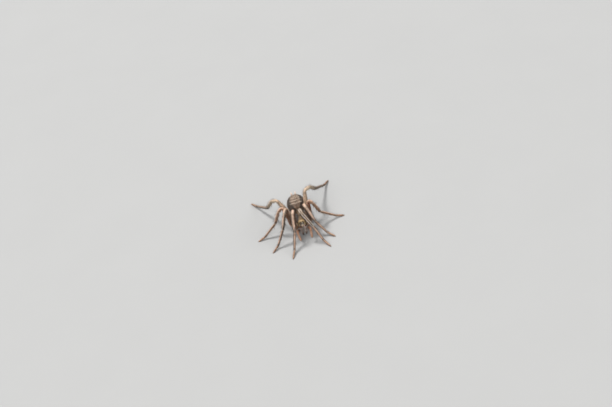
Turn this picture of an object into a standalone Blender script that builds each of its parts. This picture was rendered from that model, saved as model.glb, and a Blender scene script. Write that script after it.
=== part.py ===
"""A labyrinth spider, a large funnel weaver, as a life-size still model.

It sits alert: the first two pairs of legs are drawn up over the head and come down in front, the
third pair stands out to the sides, and the last pair reaches back.

The frame is in metres with +Z up and the floor at z = 0. The head looks along -Y, and the
spider's own left is +X. Sizes and places in the tables below are in millimetres, in a frame
whose x = 0 and y = 0 are the middle of the carapace. BODY_SHIFT then moves the whole animal.
"""
import math

import bmesh
import bpy
from mathutils import Matrix, Vector
from mathutils.bvhtree import BVHTree

MM = 0.001
BODY_SHIFT = (0.5, -2.55)  # along X and Y, so that the legs reach evenly far from the origin
GAP = 0.12  # between two pieces that meet, small beside limbs of half a millimetre
EYE_GAP = 0.03  # between an eye and its socket
EDGE = 0.05  # the rounding at the rim of a piece's end face
SINK = 0.035  # how far a round toe would pass the floor before it is cut flat there
LEFT, RIGHT = 1, -1
SIDE_NAMES = {LEFT: "left", RIGHT: "right"}

# Lengths of a leg's pieces from the body out
SEGMENTS = ("coxa", "trochanter", "femur", "patella", "tibia", "metatarsus", "tarsus")
LEG_LENGTHS = {
    1: (1.25, 0.45, 4.7, 1.7, 4.0, 4.0, 2.3),
    2: (1.15, 0.40, 4.5, 1.6, 3.7, 3.7, 2.1),
    3: (1.10, 0.40, 3.9, 1.4, 3.1, 3.9, 1.9),
    4: (1.35, 0.45, 5.1, 1.9, 4.3, 5.4, 2.4),
}
LEG_THICKNESS = {1: 1.0, 2: 0.97, 3: 0.93, 4: 1.0}
COXA_ROOT = {1: (0.85, -0.85), 2: (1.08, -0.10), 3: (1.08, 0.65), 4: (0.80, 1.35)}
COXA_HEIGHT = 2.0
COXA_AZIMUTH = {1: 50, 2: 78, 3: 106, 4: 142}
COXA_RISE = 8
TROCHANTER_RISE = 45

# The stance: azimuth and elevation of femur, patella and tibia, then the azimuth of the foot.
# Azimuth 0 looks ahead and 90 straight out to the leg's own side.
STANCE = {
    (LEFT, 1): ((233, 62), (11, -2), (39, -50), 30),
    (LEFT, 2): ((221, 71), (18, -14), (31, -55), 46),
    (LEFT, 3): ((160, 75), (50, -27), (77, -69), 82),
    (LEFT, 4): ((151, 68), (135, -13), (153, -47), 149),
    (RIGHT, 1): ((215, 67), (19, -12), (17, -56), 22),
    (RIGHT, 2): ((178, 72), (28, -22), (38, -52), 50),
    (RIGHT, 3): ((146, 66), (64, -22), (72, -60), 76),
    (RIGHT, 4): ((126, 57), (135, -24), (146, -52), 150),
}
METATARSUS_SHARE = 0.82  # of the drop from the tibia to the floor that the metatarsus makes

# Leg spines as (segment, share of its length, degrees off the top, length beside the longest)
SPINES = (
    ("femur", 0.22, 0, 0.75),
    ("femur", 0.48, 0, 0.80),
    ("femur", 0.74, 0, 0.70),
    ("femur", 0.40, 55, 0.70),
    ("femur", 0.45, -55, 0.70),
    ("patella", 0.85, 0, 0.80),
    ("tibia", 0.70, 0, 0.85),
    ("tibia", 0.30, 70, 0.90),
    ("tibia", 0.34, -70, 0.90),
    ("tibia", 0.68, 70, 0.90),
    ("tibia", 0.72, -70, 0.90),
    ("tibia", 0.52, 150, 1.00),
    ("tibia", 0.56, -150, 1.00),
    ("metatarsus", 0.12, 75, 0.90),
    ("metatarsus", 0.14, -75, 0.90),
    ("metatarsus", 0.50, 110, 0.80),
    ("metatarsus", 0.52, -110, 0.80),
)
SPINE_LENGTH = 1.15  # of the longest, off the leg's surface
SPINE_RADIUS = 0.07  # at the leg's surface
SPINE_LEAN = 40  # degrees off the leg, towards the foot
SPINE_ROOT = 0.5  # of the leg's radius there that a root is sunk below its surface
SPINE_SIDES = 4

# Radius along each piece of a leg, as (fraction of its length, radius)
GIRTH = {
    "coxa": ((0.0, 0.33), (0.3, 0.42), (0.75, 0.42), (1.0, 0.34)),
    "trochanter": ((0.0, 0.34), (0.5, 0.38), (1.0, 0.33)),
    "femur": ((0.0, 0.33), (0.12, 0.41), (0.38, 0.50), (0.72, 0.46), (0.92, 0.39), (1.0, 0.37)),
    "patella": ((0.0, 0.37), (0.45, 0.42), (0.85, 0.38), (1.0, 0.33)),
    "tibia": ((0.0, 0.33), (0.12, 0.38), (0.4, 0.39), (0.85, 0.34), (1.0, 0.29)),
    "metatarsus": ((0.0, 0.27), (0.1, 0.30), (0.5, 0.27), (0.93, 0.26), (1.0, 0.24)),
    "tarsus": ((0.0, 0.24), (0.3, 0.25), (0.75, 0.21), (1.0, 0.12)),
}
# Radius of the arc that each joint's corner is rounded to, from the trochanter's joint out
JOINT_BENDS = (0.45, 0.55, 0.55, 0.9, 0.9, 1.0)

PALP_CORNERS = (
    (0.60, -1.55, 1.62),
    (1.22, -2.05, 1.58),
    (1.55, -3.30, 2.75),
    (1.50, -4.30, 2.30),
    (1.30, -5.15, 1.15),
)
PALP_BENDS = (0.35, 0.45, 0.6)
PALP_GIRTH = (
    ((0.0, 0.24), (0.5, 0.26), (1.0, 0.22)),
    ((0.0, 0.22), (0.5, 0.27), (1.0, 0.23)),
    ((0.0, 0.23), (0.5, 0.26), (1.0, 0.23)),
    ((0.0, 0.23), (0.4, 0.27), (0.85, 0.2), (1.0, 0.1)),
)

CHELICERA_CORNERS = ((0.47, -2.10, 2.84), (0.47, -2.45, 2.15), (0.43, -2.62, 1.05))
CHELICERA_GIRTH = (
    ((0.0, 0.34), (0.5, 0.40), (1.0, 0.41)),
    ((0.0, 0.41), (0.5, 0.39), (0.85, 0.31), (1.0, 0.25)),
)
FANG_CORNERS = ((0.42, -2.65, 0.97), (0.41, -2.74, 0.58), (0.05, -2.66, 0.52))
FANG_GIRTH = (((0.0, 0.15), (1.0, 0.12)), ((0.0, 0.12), (1.0, 0.04)))

SPINNERETS = {
    # name: (corners, girth of each length)
    "posterior": (
        ((0.34, 8.25, 2.62), (0.42, 9.35, 2.75), (0.50, 10.20, 2.95)),
        (((0.0, 0.20), (0.6, 0.18), (1.0, 0.14)), ((0.0, 0.15), (1.0, 0.06))),
    ),
    "anterior": (
        ((0.30, 8.15, 2.02), (0.34, 8.72, 1.92), (0.36, 9.05, 1.90)),
        (((0.0, 0.20), (0.6, 0.20), (1.0, 0.16)), ((0.0, 0.16), (1.0, 0.08))),
    ),
}

# Eyes as (x, z, radius), on the steep front of the head: two above, four in the middle, two below
EYES = {
    "posterior_median": (0.20, 3.58, 0.105),
    "anterior_median": (0.13, 3.33, 0.095),
    "posterior_lateral": (0.47, 3.40, 0.105),
    "anterior_lateral": (0.36, 3.14, 0.110),
}
EYE_DEPTH = 0.35  # of its radius that an eye's middle lies below the head's surface

# Lofted forms: stations of (y, half width, top, bottom), the height of the widest line, and how
# blunt the front and the back end are (2 is an ellipse, more is blunter)
CARAPACE = {
    "stations": (
        (-2.30, 1.02, 3.66, 2.30),
        (-1.70, 1.10, 3.84, 2.05),
        (-0.90, 1.34, 3.80, 1.85),
        (0.10, 1.70, 3.58, 1.80),
        (0.90, 1.72, 3.42, 1.80),
        (1.60, 1.55, 3.22, 1.95),
        (2.30, 1.10, 2.98, 2.20),
    ),
    "side": ((-2.30, 2.75), (-0.90, 2.50), (2.30, 2.45)),
    "blunt": (5.0, 5.0),
}
ABDOMEN = {
    "stations": (
        (2.42, 0.30, 2.96, 2.40),
        (2.75, 0.32, 3.00, 2.36),
        (3.20, 1.20, 3.95, 1.95),
        (4.20, 1.78, 4.55, 1.30),
        (5.60, 2.08, 4.88, 1.02),
        (7.00, 1.92, 4.62, 1.12),
        (8.20, 1.25, 3.90, 1.42),
        (8.85, 0.72, 3.25, 1.80),
    ),
    "side": ((2.42, 2.70), (3.20, 2.80), (5.60, 2.85), (8.85, 2.55)),
    "blunt": (40.0, 6.0),
}
STERNUM = {
    "stations": (
        (-1.42, 0.22, 1.66, 1.40),
        (-1.12, 0.27, 1.66, 1.38),
        (-0.95, 0.48, 1.66, 1.36),
        (-0.20, 0.84, 1.66, 1.34),
        (0.50, 0.84, 1.66, 1.34),
        (1.15, 0.42, 1.66, 1.38),
        (1.40, 0.16, 1.66, 1.42),
    ),
    "side": ((-1.42, 1.56), (1.40, 1.56)),
    "blunt": (8.0, 8.0),
}
FOVEA_Y = 0.95  # the pit at the middle of the thorax
FOVEA_SIZE = (0.10, 0.32, 0.10)  # half width, half length, depth
NECK_GROOVE = ((0.10, 0.75), (1.20, -0.75))  # from beside the pit out to the neck, as (x, y)
NECK_GROOVE_SIZE = (0.16, 0.07)  # half width, depth

COLOURS = {
    "leg_brown": ((0.34, 0.15, 0.07), 0.55),
    "leg_pale": ((0.55, 0.38, 0.22), 0.55),
    "head_tan": ((0.36, 0.22, 0.11), 0.5),
    "abdomen_brown": ((0.13, 0.08, 0.055), 0.7),
    "sternum_dark": ((0.07, 0.045, 0.03), 0.6),
    "jaw_red_brown": ((0.16, 0.05, 0.025), 0.3),
    "fang_black": ((0.03, 0.01, 0.006), 0.2),
    "eye_black": ((0.01, 0.009, 0.009), 0.08),
    "spinneret_tan": ((0.30, 0.20, 0.12), 0.6),
}


def clear_scene():
    """Remove every object that the file opened with."""
    for thing in list(bpy.data.objects):
        bpy.data.objects.remove(thing, do_unlink=True)


def collection(name):
    """A new collection under the scene's own."""
    made = bpy.data.collections.new(name)
    bpy.context.scene.collection.children.link(made)
    return made


def material(name):
    """One finish: a Principled BSDF with the part's own colour and roughness."""
    if name in bpy.data.materials:
        return bpy.data.materials[name]
    colour, roughness = COLOURS[name]
    made = bpy.data.materials.new(name)
    made.use_nodes = True
    shader = made.node_tree.nodes["Principled BSDF"]
    shader.inputs["Base Color"].default_value = (*colour, 1.0)
    shader.inputs["Roughness"].default_value = roughness
    shader.inputs["Metallic"].default_value = 0.0
    return made


def blend(stations, at):
    """Read a table of (place, value, ...) rows at one place, on a smooth curve through the rows."""
    if at <= stations[0][0]:
        return stations[0][1:]
    if at >= stations[-1][0]:
        return stations[-1][1:]
    step = max(index for index, row in enumerate(stations[:-1]) if row[0] <= at)
    low, high = stations[step], stations[step + 1]
    before, after = stations[max(step - 1, 0)], stations[min(step + 2, len(stations) - 1)]
    span = high[0] - low[0]
    share = (at - low[0]) / span
    values = []
    for column in range(1, len(low)):
        slope_in = (high[column] - before[column]) / (high[0] - before[0])
        slope_out = (after[column] - low[column]) / (after[0] - low[0])
        values.append(
            low[column] * (1 + 2 * share) * (1 - share) ** 2
            + high[column] * (3 - 2 * share) * share ** 2
            + slope_in * span * share * (1 - share) ** 2
            - slope_out * span * share ** 2 * (1 - share)
        )
    return tuple(values)


def heading(azimuth, elevation, side=LEFT):
    """The unit vector of a direction, with azimuth 0 ahead and 90 out to the given side."""
    turn = math.radians(azimuth)
    rise = math.radians(elevation)
    level = math.cos(rise)
    return Vector((side * math.sin(turn) * level, -math.cos(turn) * level, math.sin(rise)))


def mirrored(corners, side):
    """The corners of a route on the left, or their mirror image on the right."""
    return [Vector((side * x, y, z)) for x, y, z in corners]


class Route:
    """Straight lengths end to end, each corner rounded to an arc of its own radius.

    marks holds the distance along the route of its two ends and of each corner's middle.
    """

    def __init__(self, corners, bends):
        self.pieces = []
        self.marks = [0.0]
        self.rings = [0.0]
        self.length = 0.0
        start = corners[0]
        for before, corner, after, bend in zip(corners, corners[1:], corners[2:], bends):
            ahead = (corner - before).normalized()
            away = (after - corner).normalized()
            turn = ahead.angle(away)
            room = 0.47 * min((corner - before).length, (after - corner).length)
            tangent = min(bend * math.tan(turn / 2), room)
            entry = corner - ahead * tangent
            self.add_straight(start, entry)
            self.add_arc(entry, ahead, away, turn, tangent / math.tan(turn / 2))
            start = corner + away * tangent
        self.add_straight(start, corners[-1])
        self.marks.append(self.length)

    def add_straight(self, start, end):
        """Add a straight length."""
        span = end - start
        self.pieces.append((self.length, span.length, start, span.normalized(), None, 0.0))
        self.length += span.length

    def add_arc(self, start, ahead, away, turn, radius):
        """Add an arc that turns from one direction into another, with rings along it."""
        inward = (away - ahead * math.cos(turn)).normalized()
        arc = radius * turn
        steps = max(2, 2 * round(turn / math.radians(40)))
        self.rings += [self.length + arc * step / steps for step in range(steps + 1)]
        self.marks.append(self.length + arc / 2)
        self.pieces.append((self.length, arc, start, ahead, inward, radius))
        self.length += arc

    def point(self, distance):
        """The place at a distance along the route, past its ends too."""
        piece = self.pieces[0]
        for candidate in self.pieces:
            if candidate[0] <= distance:
                piece = candidate
        begun, _, start, ahead, inward, radius = piece
        gone = distance - begun
        if inward is None:
            return start + ahead * gone
        turned = gone / radius
        return start + (ahead * math.sin(turned) + inward * (1 - math.cos(turned))) * radius

    def girth(self, tables, scale, distance):
        """The radius there, from one table of (fraction, radius) for each straight length."""
        for table, low, high in zip(tables, self.marks, self.marks[1:]):
            if distance <= high:
                break
        share = (distance - low) / (high - low)
        return scale * blend(table, share)[0]

    def ring_places(self, tables, first, last, start, end):
        """Where a tube between two marks needs rings: at bends and where its girth changes."""
        wanted = [place for place in self.rings if start < place < end]
        for table, low, high in zip(tables[first:last], self.marks[first:], self.marks[first + 1:]):
            wanted += [low + row[0] * (high - low) for row in table]
        inner = [start + EDGE]
        for place in sorted(wanted):
            if inner[-1] + 2.2 * EDGE < place < end - 2.5 * EDGE:
                inner.append(place)
        return [start, *inner, end - EDGE, end]


class Spider:
    """Collects the pieces of the model and their cutters."""

    def __init__(self):
        self.parts = collection("labyrinth_spider")
        self.cutters = collection("cutters")
        self.root = bpy.data.objects.new("spider", None)
        self.root.location = (BODY_SHIFT[0] * MM, BODY_SHIFT[1] * MM, 0.0)
        self.parts.objects.link(self.root)
        self.eye_surface = None

    def add(self, made, at, finish=None):
        """Put an object's origin at a place, as a piece with a finish or as a cutter."""
        made.location = Vector(at) * MM
        made.parent = self.root
        if finish is None:
            self.cutters.objects.link(made)
            made.hide_render = True
            made.display_type = "WIRE"
            return made
        self.parts.objects.link(made)
        made.data.materials.clear()
        made.data.materials.append(material(finish))
        return made

    def tube(self, name, route, tables, marks, finish, sides=10, scale=1.0, spare=0.0,
             ends=(GAP / 2, GAP / 2)):
        """A limb's length as a curve with its own girth, from one mark of its route to another.

        ends are the lengths left off at its two ends, and spare is added all round a cutter.
        """
        first, last = marks
        start = route.marks[first] + ends[0]
        end = route.marks[last] - ends[1]
        places = route.ring_places(tables, first, last, start, end)
        origin = route.point(start)
        curve = bpy.data.curves.new(name, "CURVE")
        curve.dimensions = "3D"
        curve.bevel_depth = MM
        curve.bevel_resolution = sides // 2 - 2
        curve.use_fill_caps = True
        spline = curve.splines.new("POLY")
        spline.points.add(len(places) - 1)
        for place, dot in zip(places, spline.points):
            radius = route.girth(tables, scale, place) + spare
            if place in (start, end):
                radius -= EDGE * min(1.0, radius / 0.3)
            dot.co = (*((route.point(place) - origin) * MM), 1.0)
            dot.radius = radius
        for polygon in curve.splines:
            polygon.use_smooth = True
        return self.add(bpy.data.objects.new(name, curve), origin, finish)

    def as_mesh(self, tube):
        """The same tube as a closed mesh object, so that it can be cut or can cut."""
        bpy.context.view_layer.update()
        seen = tube.evaluated_get(bpy.context.evaluated_depsgraph_get())
        mesh = bpy.data.meshes.new_from_object(seen)
        shape = bmesh.new()
        shape.from_mesh(mesh)
        bmesh.ops.remove_doubles(shape, verts=shape.verts, dist=1e-7)
        shape.to_mesh(mesh)
        shape.free()
        name = tube.name
        home = tube.users_collection[0]
        place = tube.location.copy()
        hidden = tube.hide_render
        bpy.data.objects.remove(tube, do_unlink=True)
        made = bpy.data.objects.new(name, mesh)
        made.location = place
        made.parent = self.root
        made.hide_render = hidden
        if hidden:
            made.display_type = "WIRE"
        home.objects.link(made)
        return made

    def loft(self, name, form, finish, around, along, relief=None):
        """A sphere drawn out along Y to the widths, tops and bottoms of a form's stations."""
        stations, side_line, blunt = form["stations"], form["side"], form["blunt"]
        front, back = stations[0][0], stations[-1][0]
        middle, reach = (front + back) / 2, (back - front) / 2
        shape = bmesh.new()
        bmesh.ops.create_uvsphere(shape, u_segments=around, v_segments=along, radius=1.0)
        bmesh.ops.rotate(shape, verts=shape.verts, matrix=Matrix.Rotation(math.pi / 2, 3, "X"))
        for vertex in shape.verts:
            x, y, z = vertex.co
            place = middle + reach * y
            width, top, bottom = blend(stations, place)
            side = blend(side_line, place)[0]
            swell = max(0.0, 1 - abs(y) ** blunt[y > 0]) ** 0.5
            ring = math.hypot(x, z)
            across, up = (x / ring, z / ring) if ring > 1e-6 else (0.0, 0.0)
            height = (top - side) if up > 0 else (side - bottom)
            spot = Vector((swell * width * across, place, side + swell * height * up))
            if relief:
                spot = relief(spot, up)
            vertex.co = (spot - Vector((0.0, middle, 0.0))) * MM
        bmesh.ops.recalc_face_normals(shape, faces=shape.faces)
        mesh = bpy.data.meshes.new(name)
        shape.to_mesh(mesh)
        shape.free()
        mesh.shade_smooth()
        return self.add(bpy.data.objects.new(name, mesh), (0.0, middle, 0.0), finish)

    def ball(self, name, at, radius, finish=None, around=12, along=8):
        """A ball, for an eye or for the socket that it lies in."""
        shape = bmesh.new()
        bmesh.ops.create_uvsphere(shape, u_segments=around, v_segments=along, radius=radius * MM)
        mesh = bpy.data.meshes.new(name)
        shape.to_mesh(mesh)
        shape.free()
        mesh.shade_smooth()
        return self.add(bpy.data.objects.new(name, mesh), at, finish)

    def fuse(self, host, pieces):
        """Join closed meshes to a host's mesh with one Boolean, and remove them."""
        group = collection("fused")
        for piece in pieces:
            piece.location -= host.location
            group.objects.link(piece)
        union = host.modifiers.new("fused", "BOOLEAN")
        union.operation = "UNION"
        union.operand_type = "COLLECTION"
        union.collection = group
        union.solver = "MANIFOLD"
        place, parent = host.location.copy(), host.parent
        host.location, host.parent = (0.0, 0.0, 0.0), None
        bpy.context.view_layer.update()
        seen = host.evaluated_get(bpy.context.evaluated_depsgraph_get())
        mesh = bpy.data.meshes.new_from_object(seen)
        host.modifiers.remove(union)
        finish = host.data.materials[0]
        mesh.materials.clear()
        mesh.materials.append(finish)
        mesh.shade_smooth()
        host.data = mesh
        host.location, host.parent = place, parent
        for piece in pieces:
            bpy.data.objects.remove(piece, do_unlink=True)
        bpy.data.collections.remove(group)

    def cut(self, host, name, cutters):
        """Cut a collection of closed meshes out of a host with one Boolean."""
        group = bpy.data.collections.new(name)
        self.cutters.children.link(group)
        for cutter in cutters:
            self.cutters.objects.unlink(cutter)
            group.objects.link(cutter)
        knife = host.modifiers.new(name, "BOOLEAN")
        knife.operation = "DIFFERENCE"
        knife.operand_type = "COLLECTION"
        knife.collection = group
        knife.solver = "EXACT"


def carapace_relief(spot, up):
    """Press the pit of the thorax and the two grooves behind the head into the carapace."""
    if up <= 0:
        return spot
    wide, long, deep = FOVEA_SIZE
    pit = math.exp(-((spot.x / wide) ** 2 + ((spot.y - FOVEA_Y) / long) ** 2))
    start, end = (Vector(place) for place in NECK_GROOVE)
    line = end - start
    offset = Vector((abs(spot.x), spot.y)) - start
    along = max(0.0, min(1.0, offset.dot(line) / line.length_squared))
    groove_width, groove_depth = NECK_GROOVE_SIZE
    groove = math.exp(-((offset - line * along).length / groove_width) ** 2)
    return spot - Vector((0.0, 0.0, up * (deep * pit + groove_depth * groove)))


def leg_route(side, number):
    """The middle line of one leg, from its root to its toe on the floor."""
    coxa, trochanter, femur, patella, tibia, metatarsus, tarsus = LEG_LENGTHS[number]
    root_x, root_y = COXA_ROOT[number]
    turn = COXA_AZIMUTH[number]
    femur_aim, patella_aim, tibia_aim, foot_azimuth = STANCE[side, number]
    corners = [Vector((side * root_x, root_y, COXA_HEIGHT))]
    steps = (
        (coxa, turn, COXA_RISE),
        (trochanter, turn, TROCHANTER_RISE),
        (femur, *femur_aim),
        (patella, *patella_aim),
        (tibia, *tibia_aim),
    )
    for length, azimuth, elevation in steps:
        corners.append(corners[-1] + heading(azimuth, elevation, side) * length)
    toe_radius = LEG_THICKNESS[number] * GIRTH["tarsus"][-1][1]
    drop = corners[-1].z - toe_radius + SINK
    first_drop = METATARSUS_SHARE * drop
    for length, fall in ((metatarsus, first_drop), (tarsus, drop - first_drop)):
        slope = -math.degrees(math.asin(fall / length))
        corners.append(corners[-1] + heading(foot_azimuth, slope, side) * length)
    return Route(corners, JOINT_BENDS)


def joint_axis(side, number):
    """The axis that a leg's joints turn on. A direction along the leg, crossed with it, is up."""
    femur_aim, patella_aim, tibia_aim, _ = STANCE[side, number]
    rising, knee, falling = (heading(*aim, side) for aim in (femur_aim, patella_aim, tibia_aim))
    axis = rising.cross(falling).normalized()
    return axis if knee.cross(axis).dot(rising - falling) > 0 else -axis


def spine(at, aim, length, radius):
    """One spine as a thin closed cone."""
    shape = bmesh.new()
    bmesh.ops.create_cone(
        shape, cap_ends=True, segments=SPINE_SIDES, radius1=radius * MM, radius2=0.0, depth=length * MM
    )
    mesh = bpy.data.meshes.new("spine")
    shape.to_mesh(mesh)
    shape.free()
    mesh.transform(Matrix.Translation((0.0, 0.0, length * MM / 2)))
    mesh.transform(aim.to_track_quat("Z", "Y").to_matrix().to_4x4())
    made = bpy.data.objects.new("spine", mesh)
    made.location = at * MM
    return made


def leg_spines(route, axis, thickness, marks):
    """The spines on one length of a leg, each with its root sunk in the leg."""
    tables = [GIRTH[segment] for segment in SEGMENTS]
    lean = math.radians(SPINE_LEAN)
    step = 0.01
    spines = []
    for segment, share, turn, size in SPINES:
        index = SEGMENTS.index(segment)
        if not marks[0] <= index < marks[1]:
            continue
        low, high = route.marks[index], route.marks[index + 1]
        place = low + share * (high - low)
        ahead = (route.point(place + step) - route.point(place - step)).normalized()
        out = Matrix.Rotation(math.radians(turn), 3, ahead) @ ahead.cross(axis).normalized()
        aim = ahead * math.cos(lean) + out * math.sin(lean)
        leg_radius = route.girth(tables, thickness, place)
        sunk = SPINE_ROOT * leg_radius / math.sin(lean)
        shown = size * SPINE_LENGTH
        root = route.point(place) + out * leg_radius - aim * sunk
        spines.append(spine(root, aim, sunk + shown, SPINE_RADIUS * (sunk + shown) / shown))
    return spines


def add_leg(spider, side, number):
    """One leg as coxa, femur, tibia and foot. Returns the cutter of its socket in the body."""
    route = leg_route(side, number)
    axis = joint_axis(side, number)
    tables = [GIRTH[segment] for segment in SEGMENTS]
    thickness = LEG_THICKNESS[number]
    stem = f"{SIDE_NAMES[side]}_leg_{number}"
    pieces = (
        ("coxa", (0, 2), "leg_brown", 10),
        ("femur", (2, 3), "leg_brown", 10),
        ("tibia", (3, 5), "leg_brown", 10),
        ("foot", (5, 7), "leg_pale", 8),
    )
    for piece, marks, finish, sides in pieces:
        ends = (
            0.0 if piece == "coxa" else GAP / 2,
            0.0 if piece == "foot" else GAP / 2,
        )
        made = spider.tube(
            f"{stem}_{piece}", route, tables, marks, finish, sides, thickness, ends=ends
        )
        if piece == "coxa":
            continue
        made = spider.as_mesh(made)
        spider.fuse(made, leg_spines(route, axis, thickness, marks))
        if piece == "foot":
            made.modifiers.new("flat_sole", "BOOLEAN").object = spider.floor
    socket = spider.tube(
        f"{stem}_socket", route, tables, (0, 1), None, 10, thickness, spare=GAP, ends=(-GAP, 0.0)
    )
    return spider.as_mesh(socket)


def add_floor_cutter(spider):
    """The block under the floor that cuts the soles flat."""
    shape = bmesh.new()
    bmesh.ops.create_cube(shape, size=1.0)
    mesh = bpy.data.meshes.new("floor_block")
    shape.to_mesh(mesh)
    shape.free()
    width, thickness = 60.0, 2.0
    mesh.transform(Matrix.Diagonal((width * MM, width * MM, thickness * MM, 1.0)))
    block = bpy.data.objects.new("floor_block", mesh)
    spider.floor = spider.add(block, (0.0, 0.0, -thickness / 2))


def add_palp(spider, side):
    """One palp in two nodes, its base with the upper arm, and the rest. Returns its socket."""
    route = Route(mirrored(PALP_CORNERS, side), PALP_BENDS)
    stem = f"palp_{SIDE_NAMES[side]}"
    spider.tube(f"{stem}_base", route, PALP_GIRTH, (0, 2), "leg_brown", 8, ends=(0.0, GAP / 2))
    spider.tube(f"{stem}_tip", route, PALP_GIRTH, (2, 4), "leg_brown", 8, ends=(GAP / 2, 0.0))
    socket = spider.tube(
        f"{stem}_socket", route, PALP_GIRTH, (0, 1), None, 8, spare=GAP, ends=(-GAP, 0.0)
    )
    return spider.as_mesh(socket)


def add_chelicera(spider, side):
    """One jaw with its fang. Returns the jaw's socket in the head."""
    bend = 0.8
    name = SIDE_NAMES[side]
    route = Route(mirrored(CHELICERA_CORNERS, side), (bend,))
    spider.tube(
        f"chelicera_{name}", route, CHELICERA_GIRTH, (0, 2), "jaw_red_brown", 12, ends=(0.0, 0.0)
    )
    fang_route = Route(mirrored(FANG_CORNERS, side), (bend / 3,))
    spider.tube(f"fang_{name}", fang_route, FANG_GIRTH, (0, 2), "fang_black", 8, ends=(0.0, 0.0))
    socket = spider.tube(
        f"chelicera_{name}_socket", route, CHELICERA_GIRTH, (0, 1), None, 12,
        spare=GAP, ends=(-GAP, 0.0),
    )
    return spider.as_mesh(socket)


def add_eyes(spider, surface):
    """Eight eyes set in the front of the head. Returns their sockets."""
    ahead = Vector((0.0, 1.0, 0.0))
    sockets = []
    for name, (x, z, radius) in EYES.items():
        for side, side_name in SIDE_NAMES.items():
            hit, normal, _, _ = surface.ray_cast(Vector((side * x, -5.0, z)), ahead)
            middle = hit - normal * EYE_DEPTH * radius
            spider.ball(f"eye_{name}_{side_name}", middle, radius, "eye_black")
            sockets.append(spider.ball(f"socket_{name}_{side_name}", middle, radius + EYE_GAP))
    return sockets


def add_spinnerets(spider):
    """The two long hind spinnerets and the two short front ones. Returns their sockets."""
    sockets = []
    for name, (corners, girth) in SPINNERETS.items():
        for side, side_name in SIDE_NAMES.items():
            route = Route(mirrored(corners, side), (1.5,))
            stem = f"spinneret_{name}_{side_name}"
            spider.tube(stem, route, girth, (0, 2), "spinneret_tan", 8, ends=(0.0, 0.0))
            socket = spider.tube(
                f"{stem}_socket", route, girth, (0, 1), None, 8, spare=GAP, ends=(-GAP, 0.0)
            )
            sockets.append(spider.as_mesh(socket))
    return sockets


def surface_of(host):
    """The host's surface in the tables' millimetres, to set small things on."""
    shape = bmesh.new()
    shape.from_mesh(host.data)
    for vertex in shape.verts:
        vertex.co = (vertex.co + host.location) / MM
    tree = BVHTree.FromBMesh(shape)
    shape.free()
    return tree


def main():
    """Build the whole spider."""
    clear_scene()
    spider = Spider()
    add_floor_cutter(spider)
    carapace = spider.loft("carapace", CARAPACE, "head_tan", 44, 30, carapace_relief)
    abdomen = spider.loft("abdomen", ABDOMEN, "abdomen_brown", 32, 30)
    spider.loft("sternum", STERNUM, "sternum_dark", 20, 16)
    sockets = add_eyes(spider, surface_of(carapace))
    for side in (LEFT, RIGHT):
        for number in sorted(LEG_LENGTHS):
            sockets.append(add_leg(spider, side, number))
        sockets.append(add_palp(spider, side))
        sockets.append(add_chelicera(spider, side))
    spider.cut(carapace, "head_sockets", sockets)
    spider.cut(abdomen, "spinneret_sockets", add_spinnerets(spider))


main()
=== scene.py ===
"""The looks of the labyrinth spider: one skin over body and limbs, its coat of hairs and spines,
glossy jaws, fangs, eyes and claws, and a plain studio round them.

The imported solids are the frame. Tables and shapes here are in millimetres, in the solids' own
layout: +Z up, the head looks along -Y, x = 0 and y = 0 are the middle of the carapace and the
spider's own left is +X. BODY_SHIFT and MM then bring every shape to the frame's metres.
"""
import functools
import math
from types import SimpleNamespace

import bpy
import numpy as np
from bpy.props import FloatProperty, FloatVectorProperty, IntProperty, PointerProperty
from mathutils import Matrix, Vector
from mathutils.bvhtree import BVHTree
from mathutils.kdtree import KDTree


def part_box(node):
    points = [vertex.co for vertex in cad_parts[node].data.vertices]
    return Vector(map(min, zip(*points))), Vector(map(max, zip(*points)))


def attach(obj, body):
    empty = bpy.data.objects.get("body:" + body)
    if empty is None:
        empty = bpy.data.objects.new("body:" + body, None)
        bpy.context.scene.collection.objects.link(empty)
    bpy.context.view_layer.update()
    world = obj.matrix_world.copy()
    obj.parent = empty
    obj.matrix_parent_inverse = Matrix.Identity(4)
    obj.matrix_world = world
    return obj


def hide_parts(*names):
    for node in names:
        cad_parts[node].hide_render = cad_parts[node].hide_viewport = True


bl_info = {
    "name": "Labyrinth Spider",
    "version": (1, 0, 0),
    "blender": (4, 5, 0),
    "location": "View3D > Sidebar > Spider",
    "description": "Dresses a still, life-size model of a labyrinth spider in skin, hair and spines",
    "category": "Object",
}

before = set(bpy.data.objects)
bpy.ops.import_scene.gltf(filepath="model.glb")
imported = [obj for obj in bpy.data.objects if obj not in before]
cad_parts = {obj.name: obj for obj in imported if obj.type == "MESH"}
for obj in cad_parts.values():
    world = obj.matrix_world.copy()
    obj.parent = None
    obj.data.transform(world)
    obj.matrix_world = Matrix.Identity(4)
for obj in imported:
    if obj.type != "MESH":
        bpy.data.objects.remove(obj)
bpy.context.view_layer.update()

# The layout of the solids, in millimetres
MM = 0.001
BODY_SHIFT = np.array((0.5, -2.55, 0.0))
LEFT, RIGHT = 1, -1
SIDE_NAMES = {LEFT: "left", RIGHT: "right"}
COXA, TROCHANTER, FEMUR, PATELLA, TIBIA, METATARSUS, TARSUS = range(7)
LEG_LENGTHS = {
    1: (1.25, 0.45, 4.7, 1.7, 4.0, 4.0, 2.3),
    2: (1.15, 0.40, 4.5, 1.6, 3.7, 3.7, 2.1),
    3: (1.10, 0.40, 3.9, 1.4, 3.1, 3.9, 1.9),
    4: (1.35, 0.45, 5.1, 1.9, 4.3, 5.4, 2.4),
}
LEG_THICKNESS = {1: 1.0, 2: 0.97, 3: 0.93, 4: 1.0}
COXA_ROOT = {1: (0.85, -0.85), 2: (1.08, -0.10), 3: (1.08, 0.65), 4: (0.80, 1.35)}
COXA_HEIGHT = 2.0
COXA_AZIMUTH = {1: 50, 2: 78, 3: 106, 4: 142}
COXA_RISE = 8
TROCHANTER_RISE = 45
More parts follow.
